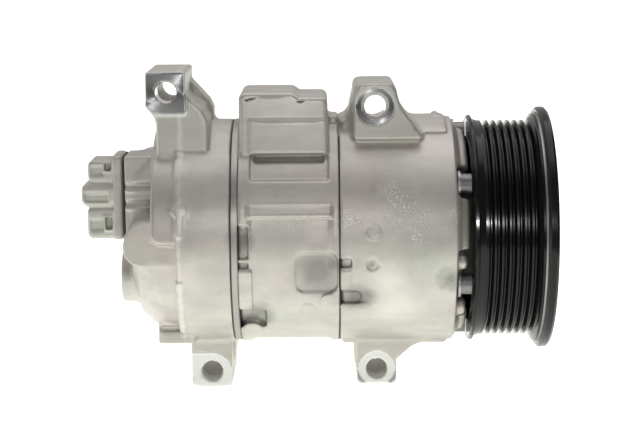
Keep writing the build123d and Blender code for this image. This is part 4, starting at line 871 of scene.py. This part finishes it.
# bright specks where the near side catches the front lamp: painted glints
GLINTS = ((-50.0, -54.0, 15.0, 13.0), (-46.0, -55.0, 4.0, 9.0), (-80.5, -55.0, 12.0, 9.0),
          (-57.0, -52.0, 24.0, 8.0), (-30.0, -53.0, 14.0, 8.0), (-129.0, -53.0, 8.0, 6.0),
          (-101.0, -54.0, 10.0, 7.0))
GLINT_COLOUR = (0.95, 0.95, 0.94)
GLINT_SHARE = 0.85
# where the rear housing's seam lies along the shaft: the middle of the painted highlight band round it
SEAM_X = -158.9


def seam_highlight(look):
    """A pale ragged band painted round the rear housing along its parting seam: a painted highlight."""
    x = look.add("ShaderNodeSeparateXYZ", {"Vector": look.place}).outputs["X"]
    off = look.maths("ABSOLUTE", look.maths("SUBTRACT", x, SEAM_X * MM), 0.0)
    ragged = look.maths("MULTIPLY", look.noise(85.0, 4.0, 0.6), 6 * MM)
    return look.remap(look.maths("ADD", off, ragged), 4.6 * MM, 3.2 * MM)


def turned_marks(look, shader):
    """Rings left by the face cutter: the highlight runs through the centre of each ear."""
    centre = look.add("ShaderNodeCombineXYZ")
    split = look.add("ShaderNodeSeparateXYZ", {"Vector": look.place})
    (front_x, front_z), *_ = EARS["front_upper"]
    (rear_x, rear_z), *_ = EARS["rear_upper"]
    middle = (front_x + rear_x) / 2 * MM
    at_front = look.maths("GREATER_THAN", split.outputs["X"], middle)
    x = look.remap(at_front, 0, 1, rear_x * MM, front_x * MM)
    z = look.remap(at_front, 0, 1, rear_z * MM, front_z * MM)
    look.link(x, centre, "X")
    look.link(z, centre, "Z")
    look.link(split.outputs["Y"], centre, "Y")
    arm = look.add("ShaderNodeVectorMath", {0: look.place, 1: centre.outputs[0]}, operation="SUBTRACT")
    tangent = look.add("ShaderNodeVectorMath", {0: arm.outputs[0]}, operation="NORMALIZE")
    look.link(tangent.outputs[0], shader, "Tangent")
    r = look.add("ShaderNodeVectorMath", {0: arm.outputs[0]}, operation="LENGTH").outputs["Value"]
    rings = look.add("ShaderNodeTexNoise", {"W": r}, {"Scale": 3200.0, "Detail": 3.0}, noise_dimensions="1D")
    return rings.outputs["Fac"], r


def milled_shader(look):
    """Bright metal with the cutter's rings, paler inside the bores."""
    shader = look.add("ShaderNodeBsdfPrincipled", {}, {
        "Base Color": (0.45, 0.45, 0.45, 1), "Metallic": 1.0, "Roughness": 0.30, "Anisotropic": 0.96})
    rings, r = turned_marks(look, shader)
    in_bore = look.remap(r, (EAR_BORE_R + 0.5) * MM, (EAR_BORE_R + 0.2) * MM)
    face = look.mix(rings, (0.32, 0.325, 0.33), (0.50, 0.50, 0.505))
    look.link(look.mix(in_bore, face, (0.86, 0.86, 0.85)), shader, "Base Color")
    rough = look.remap(rings, 0.3, 0.7, 0.32, 0.40)
    look.link(look.maths("SUBTRACT", rough, look.maths("MULTIPLY", in_bore, 0.24)), shader, "Roughness")
    return shader


def faced_shader(look, fine):
    """The lower ears' pale faces."""
    shader = look.add("ShaderNodeBsdfPrincipled", {}, {
        "Base Color": (0.88, 0.88, 0.87, 1), "Metallic": 0.2, "Roughness": 0.42})
    look.link(look.mix(fine, (0.84, 0.84, 0.83), (0.93, 0.93, 0.92)), shader, "Base Color")
    return shader


def cast_aluminium():
    """Die-cast skin with painted shade and some soot in its pockets, painted light on its lower side and
    seam, painted glints, and the ears' cut faces by the milled attribute.
    """
    look = Look("cast_aluminium", (0.60, 0.585, 0.56), 0.55, 0.46)
    skin, fine, normal = cast_skin(look, (0.65, 0.625, 0.60), (0.48, 0.465, 0.45),
                                   ((1.0, 0.955, 0.95), (0.97, 1.0, 0.955)), 1500.0, (0.22, 0.40))
    # painted light: the lower patches and the painted highlight along the rear seam
    pale = look.maths("MAXIMUM", patch_mask(look, PAINTED_LIGHT), seam_highlight(look))
    # painted glints in the middle of the near side
    glints = glint_mask(look)
    # painted shade, with some soot, darkens the pockets and recesses
    skin = look.mix(look.maths("MULTIPLY", patch_mask(look, SHADE_AND_SOOT), SHADE_AND_SOOT_SHARE), skin, SHADE_AND_SOOT_COLOUR)
    # the painted light and painted highlight are mixed in here
    skin = look.mix(look.maths("MULTIPLY", pale, PAINTED_LIGHT_SHARE), skin, PAINTED_LIGHT_COLOUR)
    # the painted glints are mixed in here
    skin = look.mix(look.maths("MULTIPLY", glints, GLINT_SHARE), skin, GLINT_COLOUR)
    look.link(skin, look.shader, "Base Color")
    rough = look.remap(fine, 0.35, 0.65, 0.40, 0.50)
    rough = look.maths("SUBTRACT", rough, look.maths("MULTIPLY", glints, 0.26))
    look.link(rough, look.shader, "Roughness")
    glitter = look.maths("MULTIPLY", look.noise(2600.0, 2.0, 0.7), glints)
    look.link(look.bump(glitter, 0.9, 0.0006, normal), look.shader, "Normal")

    share = look.add("ShaderNodeAttribute", attribute_name="milled").outputs["Fac"]
    surface = look.shader.outputs[0]
    for shader, low, high in ((faced_shader(look, fine), 0.2, 0.3), (milled_shader(look), 0.7, 0.8)):
        links = {0: look.remap(share, low, high), 1: surface, 2: shader.outputs[0]}
        surface = look.add("ShaderNodeMixShader", links).outputs[0]
    look.link(surface, look.tree.nodes["Material Output"], "Surface")
    return look.material


def cover_cast():
    """The shipping cover's rough, slightly darker skin."""
    look = Look("cover_casting", (0.50, 0.50, 0.47), 0.55, 0.52)
    skin, _, normal = cast_skin(look, (0.61, 0.592, 0.566), (0.442, 0.433, 0.409),
                                ((1.0, 0.97, 0.96), (0.97, 1.0, 0.96)), 1100.0, (0.25, 1.0))
    look.link(skin, look.shader, "Base Color")
    look.link(normal, look.shader, "Normal")
    return look.material


def metal(name, colour, roughness, stretch=None, grain=700.0, spread=0.08, bump=0.05):
    """Turned, ground or drawn metal: fine marks that change its colour, gloss and surface a little."""
    look = Look(name, colour, 1.0, roughness)
    marks = look.noise(grain, 3.0, 0.6, stretch)
    stains = look.remap(look.noise(60.0, 4.0), 0.35, 0.7)
    bright = tuple(min(1.0, c * 1.12) for c in colour)
    dull = tuple(c * 0.86 for c in colour)
    look.link(look.mix(look.maths("MULTIPLY", marks, stains), dull, bright), look.shader, "Base Color")
    rough = look.remap(marks, 0.3, 0.7, roughness - spread / 2, roughness + spread)
    look.link(rough, look.shader, "Roughness")
    look.link(look.bump(marks, bump, 0.0001), look.shader, "Normal")
    return look.material


def black_rim():
    """Gloss black coating with a little orange peel and dust."""
    look = Look("black_rim", (0.008, 0.008, 0.009), 0.0, 0.13, IOR=1.34)
    peel = look.noise(420.0, 2.0)
    dust = look.remap(look.noise(1800.0, 2.0, 0.7), 0.66, 0.80)
    look.link(look.mix(dust, (0.009, 0.009, 0.010), (0.035, 0.034, 0.032)), look.shader, "Base Color")
    look.link(look.remap(look.noise(55.0, 3.0), 0.3, 0.7, 0.12, 0.22), look.shader, "Roughness")
    look.link(look.bump(peel, 0.06, 0.0002), look.shader, "Normal")
    return look.material


def moulded(name, colour, roughness=0.5, grain=1100.0):
    """Rubber, sheet or plastic: faint mottling and a fine grain."""
    look = Look(name, colour, 0.0, roughness)
    fine = look.noise(grain, 3.0)
    bright = tuple(min(1.0, c * 1.25 + 0.004) for c in colour)
    mottle = look.remap(look.noise(70.0, 3.0), 0.3, 0.7)
    look.link(look.mix(mottle, colour, bright), look.shader, "Base Color")
    look.link(look.remap(fine, 0.3, 0.7, roughness - 0.06, roughness + 0.08), look.shader, "Roughness")
    look.link(look.bump(fine, 0.12, 0.0001), look.shader, "Normal")
    return look.material


def cover_gasket():
    """The cover's gasket: a pale sheet with a dark strip of painted shade along its port side, where it meets
    the port block.
    """
    _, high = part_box("port_cover_gasket")
    sheet = (0.42, 0.41, 0.38)
    look = Look("cover_gasket", sheet, 0.0, 0.6)
    x = look.add("ShaderNodeSeparateXYZ", {"Vector": look.place}).outputs["X"]
    # painted shade in the joint: the gasket is darkened over its last 0.7 to 0.9 mm on the port side
    joint_shade = look.remap(x, high[0] - 0.9 * MM, high[0] - 0.7 * MM)
    look.link(look.mix(joint_shade, sheet, (0.030, 0.030, 0.028)), look.shader, "Base Color")
    look.link(look.bump(look.noise(900.0, 3.0), 0.12, 0.0001), look.shader, "Normal")
    return look.material


ALONG_SHAFT = (0.12, 1.0, 1.0)
ROUND_SHAFT = (1.0, 0.15, 0.15)


def finishes():
    """One material for each of the record's material slots."""
    return {
        "cast_aluminium": cast_aluminium(),
        "cover_casting": cover_cast(),
        "black_rim": black_rim(),
        "bright_steel": metal("bright_steel", (0.44, 0.43, 0.41), 0.42, ROUND_SHAFT),
        "bearing_steel": metal("bearing_steel", (0.60, 0.60, 0.61), 0.16, ROUND_SHAFT, 900.0, 0.05, 0.03),
        "dark_steel": metal("dark_steel", (0.26, 0.26, 0.26), 0.42),
        "spring_steel": metal("spring_steel", (0.36, 0.35, 0.33), 0.34),
        "cast_iron": metal("cast_iron", (0.30, 0.29, 0.28), 0.45, None, 900.0, 0.12, 0.12),
        "piston_alloy": metal("piston_alloy", (0.70, 0.70, 0.69), 0.30, ALONG_SHAFT),
        "ring_polymer": moulded("ring_polymer", (0.25, 0.22, 0.16)),
        "cage_polymer": moulded("cage_polymer", (0.55, 0.48, 0.34)),
        "black_plastic": moulded("black_plastic", (0.020, 0.020, 0.021), 0.46),
        "rubber": moulded("rubber", (0.018, 0.018, 0.018), 0.68, 800.0),
        "gasket": moulded("gasket", (0.030, 0.030, 0.028), 0.62, 900.0),
        "brass": metal("brass", (0.72, 0.53, 0.25), 0.28),
    }


def dress(pieces):
    """Gives every CAD node and every casting the finish that the record names for it."""
    looks = finishes()
    slots = {row["node"]: row["material_slot"] for row in frame["record"]["subparts"]}
    own_looks = {"port_cover_gasket": cover_gasket()}
    for name, obj in frame["nodes"].items():
        obj.data.materials.clear()
        obj.data.materials.append(own_looks.get(name, looks[slots[name]]))
    for obj in pieces:
        obj.data.materials.append(looks[obj["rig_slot"]])


# =====================  floor, light and camera  =====================

FLOOR_HALF = 9.0
FLOOR_GAP = 0.0002
FLOOR_COLOUR = (0.92, 0.92, 0.915)
FLOOR_GLOW = (0.96, 1.0, 0.925, 1)
FLOOR_GLOW_STRENGTH = 0.95
CARD_LIFT = 0.004
WORLD_COLOUR = (1.0, 0.96, 0.95, 1)
WORLD_STRENGTH = 0.50
# the casing's front lamp, and one for the pulley's ribs alone: place, radius, power
FRONT_LAMP = ((-0.100, -0.40, 0.133), 0.010, 0.80)
RIB_LAMP = ((0.0, -0.40, 0.095), 0.008, 3.0)
# a soft box above: place, aim, width, depth, power
TOP_BOX = ((-0.09, 0.12, 0.85), (-0.09, 0.0, 0.0), 1.2, 0.9, 3.5)


def sheet(name, corners):
    """A single four-sided face."""
    mesh = bpy.data.meshes.new(name)
    mesh.from_pydata(corners, [], [(0, 1, 2, 3)])
    return placed(name, mesh)


def floor():
    low, _ = first_bounds
    size = FLOOR_HALF
    z = low[2] - FLOOR_GAP
    obj = sheet("floor", [(-size, -size, z), (size, -size, z), (size, size, z), (-size, size, z)])
    look = Look("floor", FLOOR_COLOUR, 0.0, 0.85)
    look.set(look.shader, "Emission Color", FLOOR_GLOW)
    look.set(look.shader, "Emission Strength", FLOOR_GLOW_STRENGTH)
    obj.data.materials.append(look.material)


def softbox(name, place, aim, width, depth, power):
    data = bpy.data.lights.new(name, "AREA")
    data.shape = "RECTANGLE"
    data.size = width
    data.size_y = depth
    data.energy = power
    obj = placed(name, data)
    turn = (Vector(aim) - Vector(place)).to_track_quat("-Z", "Y")
    obj.matrix_world = Matrix.Translation(place) @ turn.to_matrix().to_4x4()
    obj.visible_camera = False


def lamp(name, place, radius, power):
    """A small lamp that shows only in gloss."""
    data = bpy.data.lights.new(name, "POINT")
    data.shadow_soft_size = radius
    data.energy = power
    obj = placed(name, data)
    obj.location = place
    obj.visible_camera = False
    obj.visible_diffuse = False
    return obj


def card(name, foot_a, foot_b, height, grey, in_diffuse):
    """A dark card standing on the floor, unseen by the camera, that shows in gloss."""
    z0 = first_bounds[0][2] + CARD_LIFT
    z1 = z0 + height
    obj = sheet(name, [(*foot_a, z0), (*foot_b, z0), (*foot_b, z1), (*foot_a, z1)])
    look = Look(name, (grey, grey, grey), 0.0, 0.9)
    obj.data.materials.append(look.material)
    obj.visible_camera = False
    obj.visible_diffuse = in_diffuse
    obj.visible_shadow = False


def light():
    world = bpy.data.worlds.new("studio")
    bpy.context.scene.world = world
    world.use_nodes = True
    background = world.node_tree.nodes["Background"]
    background.inputs["Color"].default_value = WORLD_COLOUR
    background.inputs["Strength"].default_value = WORLD_STRENGTH
    softbox("top_box", *TOP_BOX)
    lamp("front_lamp", *FRONT_LAMP)
    lit = bpy.data.collections.new("lit_by_rib_lamp")
    for name in ("pulley_rim", "outer_ring"):
        lit.objects.link(bpy.data.objects[name])
    lamp("rib_lamp", *RIB_LAMP).light_linking.receiver_collection = lit
    bpy.context.scene.view_settings.view_transform = "Standard"
    bpy.context.scene.view_settings.look = "None"


CAM_TILT = math.radians(9.0)
CAM_DISTANCE = 0.880
CAM_AIM_X = -0.092
CAM_RISE = 0.0079
CAM_ROLL = math.radians(0.45)
CAM_LENS = 98.4
CAM_SENSOR = 36.0


def camera():
    cam = placed("camera", bpy.data.cameras.new("camera"))
    forward = Vector((0, math.cos(CAM_TILT), -math.sin(CAM_TILT)))
    up = Vector((0, math.sin(CAM_TILT), math.cos(CAM_TILT)))
    right = forward.cross(up)
    basis = Matrix((right, up, -forward)).transposed().to_4x4()
    place = Vector((CAM_AIM_X, 0, 0)) - forward * CAM_DISTANCE + up * CAM_RISE
    cam.matrix_world = Matrix.Translation(place) @ basis @ Matrix.Rotation(-CAM_ROLL, 4, "Z")
    cam.data.lens = CAM_LENS
    cam.data.sensor_width = CAM_SENSOR
    cam.data.clip_end = 20
    bpy.context.scene.camera = cam


castings = [front_casting(), block_casting(), rear_casting(), cover_casting()]
dress(castings)
floor()
CARD_CORNER = (0.30, -0.38)
card("front_card", (-0.75, -0.38), CARD_CORNER, 0.70, 0.08, True)
card("pulley_card", CARD_CORNER, (0.30, 0.30), 0.60, 0.04, False)
light()
camera()
